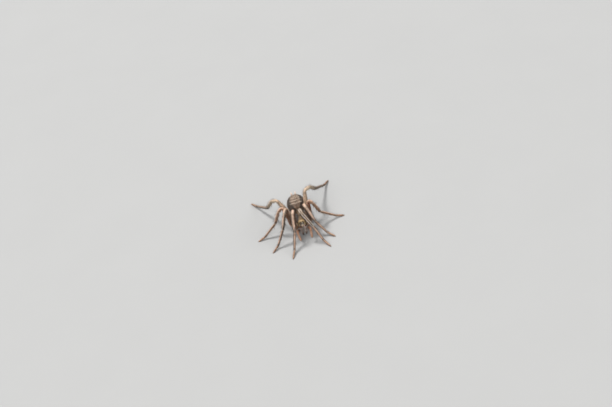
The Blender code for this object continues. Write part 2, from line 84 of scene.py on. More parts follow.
# Azimuth and elevation of femur, patella and tibia, then the azimuth of the foot
STANCE = {
    (LEFT, 1): ((233, 62), (11, -2), (39, -50), 30),
    (LEFT, 2): ((221, 71), (18, -14), (31, -55), 46),
    (LEFT, 3): ((160, 75), (50, -27), (77, -69), 82),
    (LEFT, 4): ((151, 68), (135, -13), (153, -47), 149),
    (RIGHT, 1): ((215, 67), (19, -12), (17, -56), 22),
    (RIGHT, 2): ((178, 72), (28, -22), (38, -52), 50),
    (RIGHT, 3): ((146, 66), (64, -22), (72, -60), 76),
    (RIGHT, 4): ((126, 57), (135, -24), (146, -52), 150),
}
METATARSUS_SHARE = 0.82  # of the drop from the end of the tibia to the floor
SINK = 0.035  # of a toe's round end below the floor, before it is made flat
# Radius of each segment, as (share of its length, radius)
GIRTH = (
    ((0.0, 0.33), (0.3, 0.42), (0.75, 0.42), (1.0, 0.34)),
    ((0.0, 0.34), (0.5, 0.38), (1.0, 0.33)),
    ((0.0, 0.33), (0.12, 0.41), (0.38, 0.50), (0.72, 0.46), (0.92, 0.39), (1.0, 0.37)),
    ((0.0, 0.37), (0.45, 0.42), (0.85, 0.38), (1.0, 0.33)),
    ((0.0, 0.33), (0.12, 0.38), (0.4, 0.39), (0.85, 0.34), (1.0, 0.29)),
    ((0.0, 0.27), (0.1, 0.30), (0.5, 0.27), (0.93, 0.26), (1.0, 0.24)),
    ((0.0, 0.24), (0.3, 0.25), (0.75, 0.21), (1.0, 0.12)),
)
# Radius of the bend at each joint
JOINT_BENDS = (0.45, 0.55, 0.55, 0.9, 0.9, 1.0)
PALP_CORNERS = (
    (0.60, -1.55, 1.62),
    (1.22, -2.05, 1.58),
    (1.55, -3.30, 2.75),
    (1.50, -4.30, 2.30),
    (1.30, -5.15, 1.15),
)
PALP_BENDS = (0.35, 0.45, 0.6)
PALP_GIRTH = (
    ((0.0, 0.24), (0.5, 0.26), (1.0, 0.22)),
    ((0.0, 0.22), (0.5, 0.27), (1.0, 0.23)),
    ((0.0, 0.23), (0.5, 0.26), (1.0, 0.23)),
    ((0.0, 0.23), (0.4, 0.27), (0.85, 0.2), (1.0, 0.1)),
)
PALP_FOLD = (0.09, 0.05)
CHELICERA_CORNERS = ((0.47, -2.10, 2.84), (0.47, -2.45, 2.15), (0.43, -2.62, 1.05))
CHELICERA_BEND = 0.8
CHELICERA_GIRTH = (
    ((0.0, 0.34), (0.5, 0.40), (1.0, 0.41)),
    ((0.0, 0.41), (0.5, 0.39), (0.85, 0.31), (1.0, 0.25)),
)
FANG_CORNERS = ((0.42, -2.65, 0.97), (0.41, -2.74, 0.58), (0.05, -2.66, 0.52))
FANG_GIRTH = (((0.0, 0.15), (1.0, 0.12)), ((0.0, 0.12), (1.0, 0.04)))
SPINNERETS = {
    "posterior": (
        ((0.34, 8.25, 2.62), (0.42, 9.35, 2.75), (0.50, 10.20, 2.95)),
        (((0.0, 0.20), (0.6, 0.18), (1.0, 0.14)), ((0.0, 0.15), (1.0, 0.06))),
    ),
    "anterior": (
        ((0.30, 8.15, 2.02), (0.34, 8.72, 1.92), (0.36, 9.05, 1.90)),
        (((0.0, 0.20), (0.6, 0.20), (1.0, 0.16)), ((0.0, 0.16), (1.0, 0.08))),
    ),
}
SPINNERET_BENDS = (1.5,)
SPINNERET_FOLD = (0.06, 0.03)
EYES = ("posterior_median", "anterior_median", "posterior_lateral", "anterior_lateral")
# Stations of (y, half width, top, bottom), the height of the widest line, how blunt the ends are
CARAPACE = {
    "stations": (
        (-2.30, 1.02, 3.66, 2.30),
        (-1.70, 1.10, 3.84, 2.05),
        (-0.90, 1.34, 3.80, 1.85),
        (0.10, 1.70, 3.58, 1.80),
        (0.90, 1.72, 3.42, 1.80),
        (1.60, 1.55, 3.22, 1.95),
        (2.30, 1.10, 2.98, 2.20),
    ),
    "side": ((-2.30, 2.75), (-0.90, 2.50), (2.30, 2.45)),
    "blunt": (5.0, 5.0),
}
# Its waist starts inside the carapace here, so that the two skins join
ABDOMEN = {
    "stations": (
        (1.85, 0.22, 2.74, 2.34),
        (2.42, 0.28, 2.86, 2.36),
        (2.75, 0.32, 3.00, 2.36),
        (3.20, 1.20, 3.95, 1.95),
        (4.20, 1.78, 4.55, 1.30),
        (5.60, 2.08, 4.88, 1.02),
        (7.00, 1.92, 4.62, 1.12),
        (8.20, 1.25, 3.90, 1.42),
        (8.85, 0.72, 3.25, 1.80),
    ),
    "side": ((1.85, 2.54), (2.42, 2.61), (3.20, 2.80), (5.60, 2.85), (8.85, 2.55)),
    "blunt": (40.0, 6.0),
}
STERNUM = {
    "stations": (
        (-1.42, 0.22, 1.66, 1.40),
        (-1.12, 0.27, 1.66, 1.38),
        (-0.95, 0.48, 1.66, 1.36),
        (-0.20, 0.84, 1.66, 1.34),
        (0.50, 0.84, 1.66, 1.34),
        (1.15, 0.42, 1.66, 1.38),
        (1.40, 0.16, 1.66, 1.42),
    ),
    "side": ((-1.42, 1.56), (1.40, 1.56)),
    "blunt": (8.0, 8.0),
}
# Where along Y the pit of the carapace lies, and the point that the eyes look away from
FOVEA_Y = 0.95
HEAD_MIDDLE = np.array((0.0, -1.2, 3.0))
# Where along Y the pattern of the abdomen starts, and how long it is
PATTERN_START, PATTERN_LENGTH = 3.0, 5.85

# Markings of the body: half width of the pale middle of the carapace as a share, along Y. Its
# narrowing behind the head is partly the band's own shape and partly painted shade
PALE_MIDDLE = ((-2.3, 0.74), (-1.5, 0.64), (-0.7, 0.30), (0.95, 0.16), (1.5, 0.20), (2.3, 0.30))
# Where the brown band of the abdomen ends, as an angle off the top, along its length
LEAF_EDGE = ((0.0, 0.42), (0.25, 0.60), (0.6, 0.46), (1.0, 0.30))
# Small pits over the muscles of the abdomen, from the middle and along Y
MUSCLE_SPOTS = ((0.55, 4.55), (0.62, 5.45))

# How far the skin lies inside the solids, which take in the short hair
COAT_DEPTH = {
    "leg": 0.03, "palp": 0.021, "carapace": 0.02, "abdomen": 0.06, "spinneret": 0.015, "jaw": 0.012
}
# How high skin and hair stay off the floor, and how near the skin a hair has its root
SKIN_OFF_FLOOR, HAIR_OFF_FLOOR, ROOT_OFF_SKIN = 0.012, 0.005, 0.012
# Limbs as (region, columns of a ring, ring spacing between joints and near them, round end)
LIMB_RINGS = {
    "leg": ("leg", 24, (0.13, 0.055), 0.12),
    "palp": ("leg", 20, (0.1, 0.045), 0.1),
    "spinneret": ("spinneret", 18, (0.05, 0.03), 0.05),
}
NEAR_JOINT = 0.4  # how far from a joint the rings are close together
LEG_FLATTENED = 0.94  # width of a leg as a share of its height

# The markings that skin and coat share, each from 0 to 1 at every point
MARKINGS = ("pale", "red", "olive", "dark", "cream", "frost", "soft")
# The regions of the skin: how rough it is, how much of the hair is grizzled, and the coat's slot
REGIONS = {
    "leg": (0.48, 0.10, "leg_brown"),
    "carapace": (0.42, 0.04, "head_tan"),
    "abdomen": (0.68, 0.10, "abdomen_brown"),
    "sternum": (0.50, 0.08, "sternum_dark"),
    "spinneret": (0.55, 0.10, "spinneret_tan"),
}
HAIR_PATCH = 0.003  # of its piece's UV map that one hair covers
GRAIN_SCALE = 22000.0  # of the skin's finest relief, per metre
LAMP_DISTANCE = 0.4  # in metres, where a lamp is drawn; its light is the same everywhere

# How hairs vary in length, width and lift, how far they turn aside, what is left of the lift at the
# tip, how many rings a hair has, how bare soft skin is, and where on a limb they start to shorten
LYING_HAIR = SimpleNamespace(
    lengths=(0.6, 1.25), widths=(0.75, 1.2), lifts=(0.5, 1.6), sway=0.22, droop=0.35, rings=2,
    bare=0.75, shortens_from=0.55,
)
BRISTLE = SimpleNamespace(
    lengths=(0.55, 1.3), widths=(0.8, 1.2), lifts=(0.5, 1.15), sway=0.3, droop=0.6, rings=3,
    bare=0.9, shortens_from=0.7,
)
# Coats as (number of hairs, a hair's length, width and angle off the skin)
COATS = {
    "palp": (2600, (0.24, 0.022, 0.34)),
    "carapace": (9000, (0.20, 0.020, 0.24)),
    "sternum": (900, (0.22, 0.022, 0.5)),
    "jaw": (1900, (0.24, 0.020, 0.42)),
    "spinneret": (2200, (0.20, 0.018, 0.4)),
}
LOWER_HAIRS = 9000  # under the abdomen
LEG_BRISTLES, BODY_BRISTLES = 2600, 1500  # on one side's legs and palp, and on the body
COAT_SEED, SPINE_SEED = 11, 23
# Spines as (segment, share of its length, angle off the top in degrees, relative length)
SPINE_PLACES = (
    (FEMUR, 0.22, 0, 0.75), (FEMUR, 0.48, 0, 0.8), (FEMUR, 0.74, 0, 0.7), (FEMUR, 0.40, 55, 0.7),
    (FEMUR, 0.72, 50, 0.7), (FEMUR, 0.45, -55, 0.7), (FEMUR, 0.78, -50, 0.65),
    (PATELLA, 0.15, 0, 0.45), (PATELLA, 0.85, 0, 0.8), (PATELLA, 0.55, -75, 0.6),
    (TIBIA, 0.12, 0, 0.75), (TIBIA, 0.70, 0, 0.85), (TIBIA, 0.30, 70, 0.9), (TIBIA, 0.68, 70, 0.9),
    (TIBIA, 0.34, -70, 0.9), (TIBIA, 0.72, -70, 0.9), (TIBIA, 0.18, 150, 0.9),
    (TIBIA, 0.52, 150, 1.0), (TIBIA, 0.93, 150, 0.7), (TIBIA, 0.22, -150, 0.9),
    (TIBIA, 0.56, -150, 1.0), (TIBIA, 0.93, -150, 0.7),
    (METATARSUS, 0.12, 75, 0.9), (METATARSUS, 0.14, -75, 0.9), (METATARSUS, 0.50, 110, 0.8),
    (METATARSUS, 0.52, -110, 0.8), (METATARSUS, 0.15, 150, 0.7), (METATARSUS, 0.17, -150, 0.7),
    (METATARSUS, 0.95, 100, 0.5), (METATARSUS, 0.95, -100, 0.5), (METATARSUS, 0.96, 160, 0.45),
    (METATARSUS, 0.96, -160, 0.45), (METATARSUS, 0.95, 40, 0.45), (METATARSUS, 0.95, -40, 0.45),
)


def smooth_step(value, low, high):
    """0 below low and 1 above high, with a soft rise between them."""
    share = np.clip((value - low) / (high - low), 0.0, 1.0)
    return share * share * (3.0 - 2.0 * share)


def peak(value, centre, width):
    """1 at the centre, falling off softly over the width on both sides."""
    return np.exp(-(((value - centre) / width) ** 2))


def read_table(rows, at):
    """The values of a table of (place, value, ...) rows at many places, on a smooth curve."""
    rows = np.asarray(rows, dtype=float)
    places, values = rows[:, 0], rows[:, 1:]
    at = np.clip(at, places[0], places[-1])
    last = len(rows) - 1
    index = np.arange(last + 1)
    after, before = np.minimum(index + 1, last), np.maximum(index - 1, 0)
    slopes = (values[after] - values[before]) / (places[after] - places[before])[:, None]
    low = np.clip(np.searchsorted(places, at, side="right") - 1, 0, last - 1)
    span = (places[low + 1] - places[low])[..., None]
    share = (at - places[low])[..., None] / span
    return (
        values[low] * (1 + 2 * share) * (1 - share) ** 2
        + values[low + 1] * (3 - 2 * share) * share**2
        + slopes[low] * span * share * (1 - share) ** 2
        - slopes[low + 1] * span * share**2 * (1 - share)
    )


def blob(across, along, half_width, half_length, power=2):
    """1 at the middle of an oval patch, falling off softly to its edge."""
    return np.exp(-((across / half_width) ** power) - (along / half_length) ** power)


def unit(vectors):
    """Vectors at length 1."""
    return vectors / np.maximum(np.linalg.norm(vectors, axis=-1, keepdims=True), 1e-9)


def heading(azimuth, elevation, side=LEFT):
    """The unit vector of a direction, with azimuth 0 ahead and 90 out to the given side."""
    turn = math.radians(azimuth)
    rise = math.radians(elevation)
    level = math.cos(rise)
    return np.array((side * math.sin(turn) * level, -math.cos(turn) * level, math.sin(rise)))


def mirrored(corners, side):
    """The corners of a route on the left, or their mirror image on the right."""
    return [np.array((side * x, y, z)) for x, y, z in corners]


def to_frame(points):
    """Points of the layout in millimetres, in the frame's metres."""
    return (points + BODY_SHIFT) * MM


class Route:
    """Straight lengths end to end, each corner rounded to an arc, as in the solids.

    marks holds the distance along the route of its two ends and of each corner's middle.
    """

    def __init__(self, corners, bends):
        self.spans = []
        self.marks = [0.0]
        self.length = 0.0
        start = corners[0]
        for before, corner, after, bend in zip(corners, corners[1:], corners[2:], bends):
            ahead = unit(corner - before)
            away = unit(after - corner)
            turn = math.acos(float(np.clip(ahead @ away, -1.0, 1.0)))
            room = 0.47 * min(np.linalg.norm(corner - before), np.linalg.norm(after - corner))
            tangent = min(bend * math.tan(turn / 2), room)
            entry = corner - ahead * tangent
            radius = tangent / math.tan(turn / 2)
            self.add(start, ahead, np.linalg.norm(entry - start))
            self.marks.append(self.length + radius * turn / 2)
            inward = unit(away - ahead * math.cos(turn))
            self.add(entry, ahead, radius * turn, inward, radius)
            start = corner + away * tangent
        self.add(start, unit(corners[-1] - start), np.linalg.norm(corners[-1] - start))
        self.marks.append(self.length)

    def add(self, start, ahead, length, inward=None, radius=0.0):
        """Add a straight length, or an arc if a radius is given."""
        self.spans.append((self.length, length, start, ahead, inward, radius))
        self.length += length

    def at(self, distances):
        """The places and directions at many distances along the route."""
        places = np.zeros((len(distances), 3))
        ahead = np.zeros_like(places)
        for number, (begun, _, start, direction, inward, radius) in enumerate(self.spans):
            here = distances >= begun if number else np.full(len(distances), True)
            gone = (distances[here] - begun)[:, None]
            if inward is None:
                places[here] = start + direction * gone
                ahead[here] = direction
            else:
                turned = gone / radius
                swing = direction * np.sin(turned) + inward * (1 - np.cos(turned))
                places[here] = start + swing * radius
                ahead[here] = direction * np.cos(turned) + inward * np.sin(turned)
        return places, ahead

    def segment_at(self, distances):
        """Which straight length each distance lies in, and its share of that length."""
        marks = np.array(self.marks)
        segment = np.clip(np.searchsorted(marks, distances, side="right") - 1, 0, len(marks) - 2)
        return segment, (distances - marks[segment]) / (marks[segment + 1] - marks[segment])

    def girth(self, tables, distances):
        """The radius of the solids at many distances."""
        segment, share = self.segment_at(distances)
        radius = np.zeros(len(distances))
        for number, table in enumerate(tables):
            here = segment == number
            radius[here] = read_table(table, share[here])[:, 0]
        return radius

    def ease_bends(self, distances, offsets):
        """Draw a tube's offsets in on the inside of tight bends, so that its rings don't cross."""
        for begun, length, _, direction, inward, radius in self.spans:
            if inward is None:
                continue
            turned = np.clip((distances - begun) / radius, 0.0, length / radius)[:, None]
            centre = inward * np.cos(turned) - direction * np.sin(turned)
            past = np.maximum(begun - distances, distances - begun - length).clip(0.0)
            room = 0.9 * (radius + 1.2 * past)[:, None]
            reach = np.einsum("rcx,rx->rc", offsets, centre)
            eased = np.where(reach > 0, room * np.tanh(reach / room), reach)
            offsets = offsets + (eased - reach)[..., None] * centre[:, None, :]
        return offsets


class Chart:
    """A sheet of skin, closed round its length: rows of points from head or root to tail or toe.

    marks holds its markings, each for every point or for all, and region names its finish.
    """

    def __init__(self, name, region, points, marks):
        self.name = name
        self.region = region
        self.points = points
        grid = points.shape[:2]
        self.marks = {kind: np.broadcast_to(marks.get(kind, 0.0), grid) for kind in MARKINGS}
        along = np.gradient(points, axis=0)
        around = (np.roll(points, -1, axis=1) - np.roll(points, 1, axis=1)) / 2
        normals = unit(np.cross(along, around))
        outward = points - points.mean(axis=1, keepdims=True)
        self.turned = float(np.einsum("rcx,rcx->", normals, outward)) < 0
        self.normals = -normals if self.turned else normals
        off_skin = np.einsum("rcx,rcx->rc", along, self.normals)[..., None]
        self.lie = unit(along - self.normals * off_skin)

    def as_mesh(self):
        """The sheet as a closed mesh with its markings as attributes."""
        rows, columns = self.points.shape[:2]
        index = np.arange(rows * columns).reshape(rows, columns)
        beside = np.roll(index, -1, axis=1)
        quads = np.stack((index[:-1], index[1:], beside[1:], beside[:-1]), axis=-1).reshape(-1, 4)
        faces = quads.tolist() + [index[0].tolist(), index[-1][::-1].tolist()]
        if self.turned:
            faces = [face[::-1] for face in faces]
        mesh = bpy.data.meshes.new(self.name)
        mesh.from_pydata(to_frame(self.points.reshape(-1, 3)).tolist(), [], faces)
        mesh.shade_smooth()
        for kind, values in self.marks.items():
            set_attribute(mesh, kind, values)
        region = 1.0 + list(REGIONS).index(self.region)
        set_attribute(mesh, "region", np.full(rows * columns, region))
        return mesh


def set_attribute(mesh, name, values):
    """Give each point of a mesh a value of the named attribute."""
    layer = mesh.attributes.get(name) or mesh.attributes.new(name, "FLOAT", "POINT")
    layer.data.foreach_set("value", np.asarray(values, dtype=np.float32).ravel())


def read_all(items, name, kind=np.int32):
    """One property of all items of a mesh's list."""
    values = np.zeros(len(items), dtype=kind)
    items.foreach_get(name, values)
    return values


def get_attribute(mesh, name):
    """The values of a mesh's attribute, one for each point."""
    return read_all(mesh.attributes[name].data, "value", np.float32)


# Shapes of the limbs


def ring_distances(start, end, marks, coarse, fine):
    """Where a limb has its rings: close together near joints, further apart between them."""
    places = [start]
    while places[-1] < end:
        nearest = min(abs(places[-1] - mark) for mark in marks)
        places.append(places[-1] + (fine if nearest < NEAR_JOINT else coarse))
    places[-1] = end
    return np.array(places)


def ring_angles(columns):
    """The angles of a ring's columns, from its top round."""
    return np.arange(columns) * 2 * math.pi / columns


def ball_rings(rows, columns, gap):
    """A unit ball as rings: how far across, up and along its axis each point lies.

    gap is the angle that is left open at each pole.
    """
    turn = np.linspace(gap, math.pi - gap, rows)[:, None]
    angles = ring_angles(columns)
    ring = np.sin(turn)
    return np.broadcast_arrays(ring * np.sin(angles), ring * np.cos(angles), np.cos(turn))


def limb_points(route, distances, radii, dorsal_axis, columns, flatten=1.0):
    """Rings of points round a route. The first column of each is dorsal.

    dorsal_axis is the axis that the limb's joints turn on, and flatten narrows it sideways.
    """
    places, ahead = route.at(distances)
    dorsal = unit(np.cross(ahead, dorsal_axis))
    sideways = np.cross(ahead, dorsal)
    angles = ring_angles(columns)[None, :, None]
    offsets = dorsal[:, None] * np.cos(angles) + sideways[:, None] * np.sin(angles) * flatten
    return places[:, None] + route.ease_bends(distances, offsets * radii[..., None])


def joint_shape(distances, angles, joints):
    """How the tube's radius changes at joints, and how soft the skin is there.

    Each joint is (distance, half width, depth). The fold is deepest on the underside.
    """
    change = np.zeros((len(distances), len(angles)))
    soft = np.zeros_like(change)
    below = 0.5 - 0.5 * np.cos(angles)[None, :]
    for place, width, depth in joints:
        off = distances[:, None] - place
        fold = peak(off, 0.0, width)
        collar = peak(off, -1.9 * width, 0.7 * width) + 0.6 * peak(off, 1.9 * width, 0.7 * width)
        change += 0.25 * depth * collar - depth * fold * (0.35 + 0.65 * below)
        soft += fold * (0.25 + 0.75 * below)
    return change, np.clip(soft, 0.0, 1.0)


def angle_off_top(angles):
    """How far each column is from the top of its ring, either way round."""
    return np.abs((angles + math.pi) % (2 * math.pi) - math.pi)[None, :]


def rounded_end(distances, end, radius):
    """Shrinks the last rings to a round tip."""
    left = np.clip((end - distances) / radius, 0.0, 1.0)
    return np.sqrt(np.clip(1 - (1 - left) ** 2, 0.0, 1.0)).clip(0.12)


def leg_route(side, number):
    """The middle line of one leg, from its root to its toe, and the axis of its joints."""
    coxa, trochanter, femur, patella, tibia, metatarsus, tarsus = LEG_LENGTHS[number]
    root_x, root_y = COXA_ROOT[number]
    turn = COXA_AZIMUTH[number]
    femur_aim, patella_aim, tibia_aim, foot_azimuth = STANCE[side, number]
    corners = [np.array((side * root_x, root_y, COXA_HEIGHT))]
    steps = (
        (coxa, turn, COXA_RISE),
        (trochanter, turn, TROCHANTER_RISE),
        (femur, *femur_aim),
        (patella, *patella_aim),
        (tibia, *tibia_aim),
    )
    for length, azimuth, elevation in steps:
        corners.append(corners[-1] + heading(azimuth, elevation, side) * length)
    toe_radius = LEG_THICKNESS[number] * GIRTH[TARSUS][-1][1]
    drop = corners[-1][2] - toe_radius + SINK
    first_drop = METATARSUS_SHARE * drop
    for length, fall in ((metatarsus, first_drop), (tarsus, drop - first_drop)):
        slope = -math.degrees(math.asin(fall / length))
        corners.append(corners[-1] + heading(foot_azimuth, slope, side) * length)
    up, down = heading(*femur_aim, side), heading(*tibia_aim, side)
    axis = unit(np.cross(up, down))
    knee = heading(*patella_aim, side)
    if np.cross(knee, axis) @ (up - down) < 0:
        axis = -axis
    return Route(corners, JOINT_BENDS), axis


# Tone of each segment from the root out, 0 brown and 1 pale, and how red it is
LEG_PALE = {
    1: (0.25, 0.25, 0.10, 0.55, 0.20, 0.25, 0.20),
    2: (0.25, 0.25, 0.12, 0.60, 0.22, 0.25, 0.20),
    3: (0.25, 0.25, 0.20, 0.45, 0.45, 0.35, 0.25),
    4: (0.30, 0.40, 0.75, 0.85, 0.80, 0.45, 0.25),
}
LEG_RED = {
    1: (0.3, 0.3, 0.75, 0.35, 0.35, 0.3, 0.2),
    2: (0.3, 0.3, 0.75, 0.35, 0.45, 0.3, 0.2),
    3: (0.3, 0.3, 0.95, 0.6, 0.50, 0.3, 0.2),
    4: (0.3, 0.3, 0.10, 0.05, 0.05, 0.1, 0.2),
}
PALP_PALE = (0.4, 0.9, 0.9, 0.8)
PALP_RED = (0.4, 0.8, 0.8, 0.7)
# How olive its flanks are: partly their own colour, partly painted shade on the sides of the leg
LEG_FLANK_OLIVE_AND_SHADE = {
    1: (0.1, 0.1, 0.85, 0.70, 1.00, 0.60, 0.2),
    2: (0.1, 0.1, 0.75, 0.60, 0.95, 0.50, 0.2),
    3: (0.1, 0.1, 0.25, 0.30, 0.30, 0.30, 0.1),
    4: (0.1, 0.1, 0.25, 0.20, 0.30, 0.50, 0.2),
}
# How dark it grows from the middle of the tibia to the foot
LEG_DUSK = {1: 0.45, 2: 0.45, 3: 0.15, 4: 0.55}
# How strong the pale line along its top is: partly pale hair, partly a painted highlight where light
# falls on the top of the leg
LEG_TOP_LINE_AND_HIGHLIGHT = {
    1: (0.2, 0.2, 0.95, 1.00, 1.00, 0.7, 0.3),
    2: (0.2, 0.2, 0.95, 1.00, 1.00, 0.7, 0.3),
    3: (0.2, 0.2, 0.95, 1.00, 1.00, 0.7, 0.3),
    4: (0.2, 0.2, 0.35, 0.40, 0.40, 0.5, 0.3),
}
# How wide and how deep the fold at each joint is
LEG_FOLD_WIDTHS = (0.10, 0.10, 0.17, 0.13, 0.15, 0.08)
LEG_FOLD_DEPTHS = (0.05, 0.05, 0.10, 0.06, 0.09, 0.035)
# Dark rings as (segment, share of its length, half width as a share, strength)
LEG_RINGS = (
    (FEMUR, 0.90, 0.06, 0.55),
    (FEMUR, 0.55, 0.08, 0.25),
    (PATELLA, 0.92, 0.10, 0.35),
    (TIBIA, 0.12, 0.07, 0.35),
    (TIBIA, 0.90, 0.08, 0.65),
    (METATARSUS, 0.10, 0.05, 0.30),
    (METATARSUS, 0.93, 0.06, 0.55),
)
# How strong the two whitish stripes on patella and tibia are, leg by leg
LEG_FROST = {LEFT: (1.0, 0.30, 0.15, 0.15), RIGHT: (0.20, 0.35, 0.15, 0.15)}


def leg_markings(side, number, segment, share, off_top):
    """The markings of a leg, from each ring's segment and share of it, and each column's angle."""
    pale, red, olive, line = (
        np.take(table[number], segment) for table in (LEG_PALE, LEG_RED, LEG_FLANK_OLIVE_AND_SHADE, LEG_TOP_LINE_AND_HIGHLIGHT)
    )
    ring = sum(
        strength * peak(share, place, width) * (segment == where)
        for where, place, width, strength in LEG_RINGS
    )
    beyond = (segment == TIBIA) * smooth_step(share, 0.4, 0.9) + (segment == METATARSUS)
    ring = ring + LEG_DUSK[number] * (beyond + 0.6 * (segment == TARSUS))
    striped = np.isin(segment, (PATELLA, TIBIA)) * LEG_FROST[side][number - 1]
    # The olive flanks are partly the leg's own colour and partly painted shade on its sides
    flank = smooth_step(off_top, 0.70 + 0.3 * striped, 1.20 + 0.15 * striped)
    # The pale line is partly pale hair and partly a painted highlight on the leg's lit top
    line = line * peak(off_top, 0.0, 0.78) * (1 - 0.7 * ring) * (1 - 0.9 * striped)
    return {
        "pale": pale,
        "red": red,
        "olive": olive * flank * (1 - 0.6 * smooth_step(off_top, 2.2, 2.8)),
        "dark": np.clip(ring + 0.8 * striped * peak(off_top, 0.0, 0.34), 0.0, 1.0),
        "cream": np.clip(line, 0.0, 1.0),
        "frost": striped * peak(off_top, 0.78, 0.40),
    }


def limb_chart(kind, name, route, axis, girth, joints, paint, flatten=1.0):
    """The skin of a limb round its route.

    girth holds its tables, their scale and how deep the skin lies under them. paint gives its
    markings from each ring's segment and share of it, and each column's angle off the top.
    """
    region, columns, rings, tip = LIMB_RINGS[kind]
    tables, scale, depth = girth
    distances = ring_distances(0.0, route.length, route.marks, *rings)
    radii = route.girth(tables, distances) * scale - depth
    radii *= rounded_end(distances, route.length, tip)
    angles = ring_angles(columns)
    change, soft = joint_shape(distances, angles, joints)
    points = limb_points(route, distances, radii[:, None] + change, axis, columns, flatten)
    points[..., 2] = points[..., 2].clip(SKIN_OFF_FLOOR)
    segment, share = route.segment_at(distances)
    marks = paint(segment[:, None], share[:, None], angle_off_top(angles))
    chart = Chart(name, region, points, {**marks, "soft": soft})
    chart.route, chart.distances = route, distances
    return chart


def leg_chart(side, number):
    """The skin of one leg."""
    route, axis = leg_route(side, number)
    girth = (GIRTH, LEG_THICKNESS[number], COAT_DEPTH["leg"])
    joints = zip(route.marks[1:-1], LEG_FOLD_WIDTHS, LEG_FOLD_DEPTHS)
    paint = functools.partial(leg_markings, side, number)
    name = f"leg_{number}_{SIDE_NAMES[side]}"
    return limb_chart("leg", name, route, axis, girth, joints, paint, LEG_FLATTENED)


def palp_markings(segment, share, off_top):
    """The markings of a palp: tone and red of each segment, a dark ring and a pale line."""
    return {
        "pale": np.take(PALP_PALE, segment),
        "red": np.take(PALP_RED, segment),
        "dark": 0.5 * peak(share, 0.92, 0.1),
        "cream": 0.4 * peak(off_top, 0.0, 0.5),
    }


def palp_chart(side):
    """The skin of one palp."""
    corners = mirrored(PALP_CORNERS, side)
    route = Route(corners, PALP_BENDS)
    axis = unit(np.cross(corners[2] - corners[1], corners[4] - corners[3]))
    joints = [(place, *PALP_FOLD) for place in route.marks[1:-1]]
    girth = (PALP_GIRTH, 1.0, COAT_DEPTH["palp"])
    name = f"palp_{SIDE_NAMES[side]}"
    return limb_chart("palp", name, route, axis, girth, joints, palp_markings)


def spinneret_markings(segment, share, _):
    """The markings of a spinneret: dark in the middle of its base, with a pale tip."""
    dark = 0.55 * peak(share, 0.55, 0.3) * (segment == 0)
    return {"pale": 0.5, "dark": dark, "cream": 0.6 * (segment == 1)}


def spinneret_chart(name, side):
    """The skin of one spinneret."""
    corners, tables = SPINNERETS[name]
    route = Route(mirrored(corners, side), SPINNERET_BENDS)
    girth = (tables, 1.0, COAT_DEPTH["spinneret"])
    joints = [(route.marks[1], *SPINNERET_FOLD)]
    name = f"spinneret_{name}_{SIDE_NAMES[side]}"
    axis = np.array((side, 0.0, 0.0))
    return limb_chart("spinneret", name, route, axis, girth, joints, spinneret_markings)


# Shapes of the body


def loft_points(form, rows, columns, depth):
    """A sphere drawn out along Y to the widths, tops and bottoms of a form's stations.

    Returns the points with each one's place along Y, angle off the top and share of the width.
    """
    stations = form["stations"]
    front, back = stations[0][0], stations[-1][0]
    middle, reach = (front + back) / 2, (back - front) / 2
    y = -np.cos(np.linspace(0.02, math.pi - 0.02, rows))[:, None]
    place = middle + reach * y
    width, top, bottom = read_table(stations, place[:, 0]).T[..., None]
    side = read_table(form["side"], place[:, 0])
    blunt = np.where(y > 0, form["blunt"][1], form["blunt"][0])
    swell = np.sqrt(1 - np.abs(y) ** blunt)
    angles = ring_angles(columns)
    up = np.cos(angles)
    x = swell * (width - depth) * np.sin(angles)
    z = side + swell * np.where(up > 0, top - side - depth, side - bottom - depth) * up
    drawn = middle + (place - middle) * (1 - depth / reach)
    points = np.stack(np.broadcast_arrays(x, drawn, z), axis=-1)
    return points, place, angle_off_top(angles), np.abs(x) / width


def lifted(points, lift):
    """A sheet's points moved along its own normals."""
    return points + Chart("flat", "carapace", points, {}).normals * lift[..., None]


def eye_places():
    """Middle and radius of each eye, from the solids, in the layout's millimetres."""
    found = []
    for name in EYES:
        for side_name in SIDE_NAMES.values():
            low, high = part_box(f"eye_{name}_{side_name}")
            middle = np.array((low + high) / 2) / MM - BODY_SHIFT
            found.append((name, side_name, middle, (high - low).x / MM / 2))
    return found


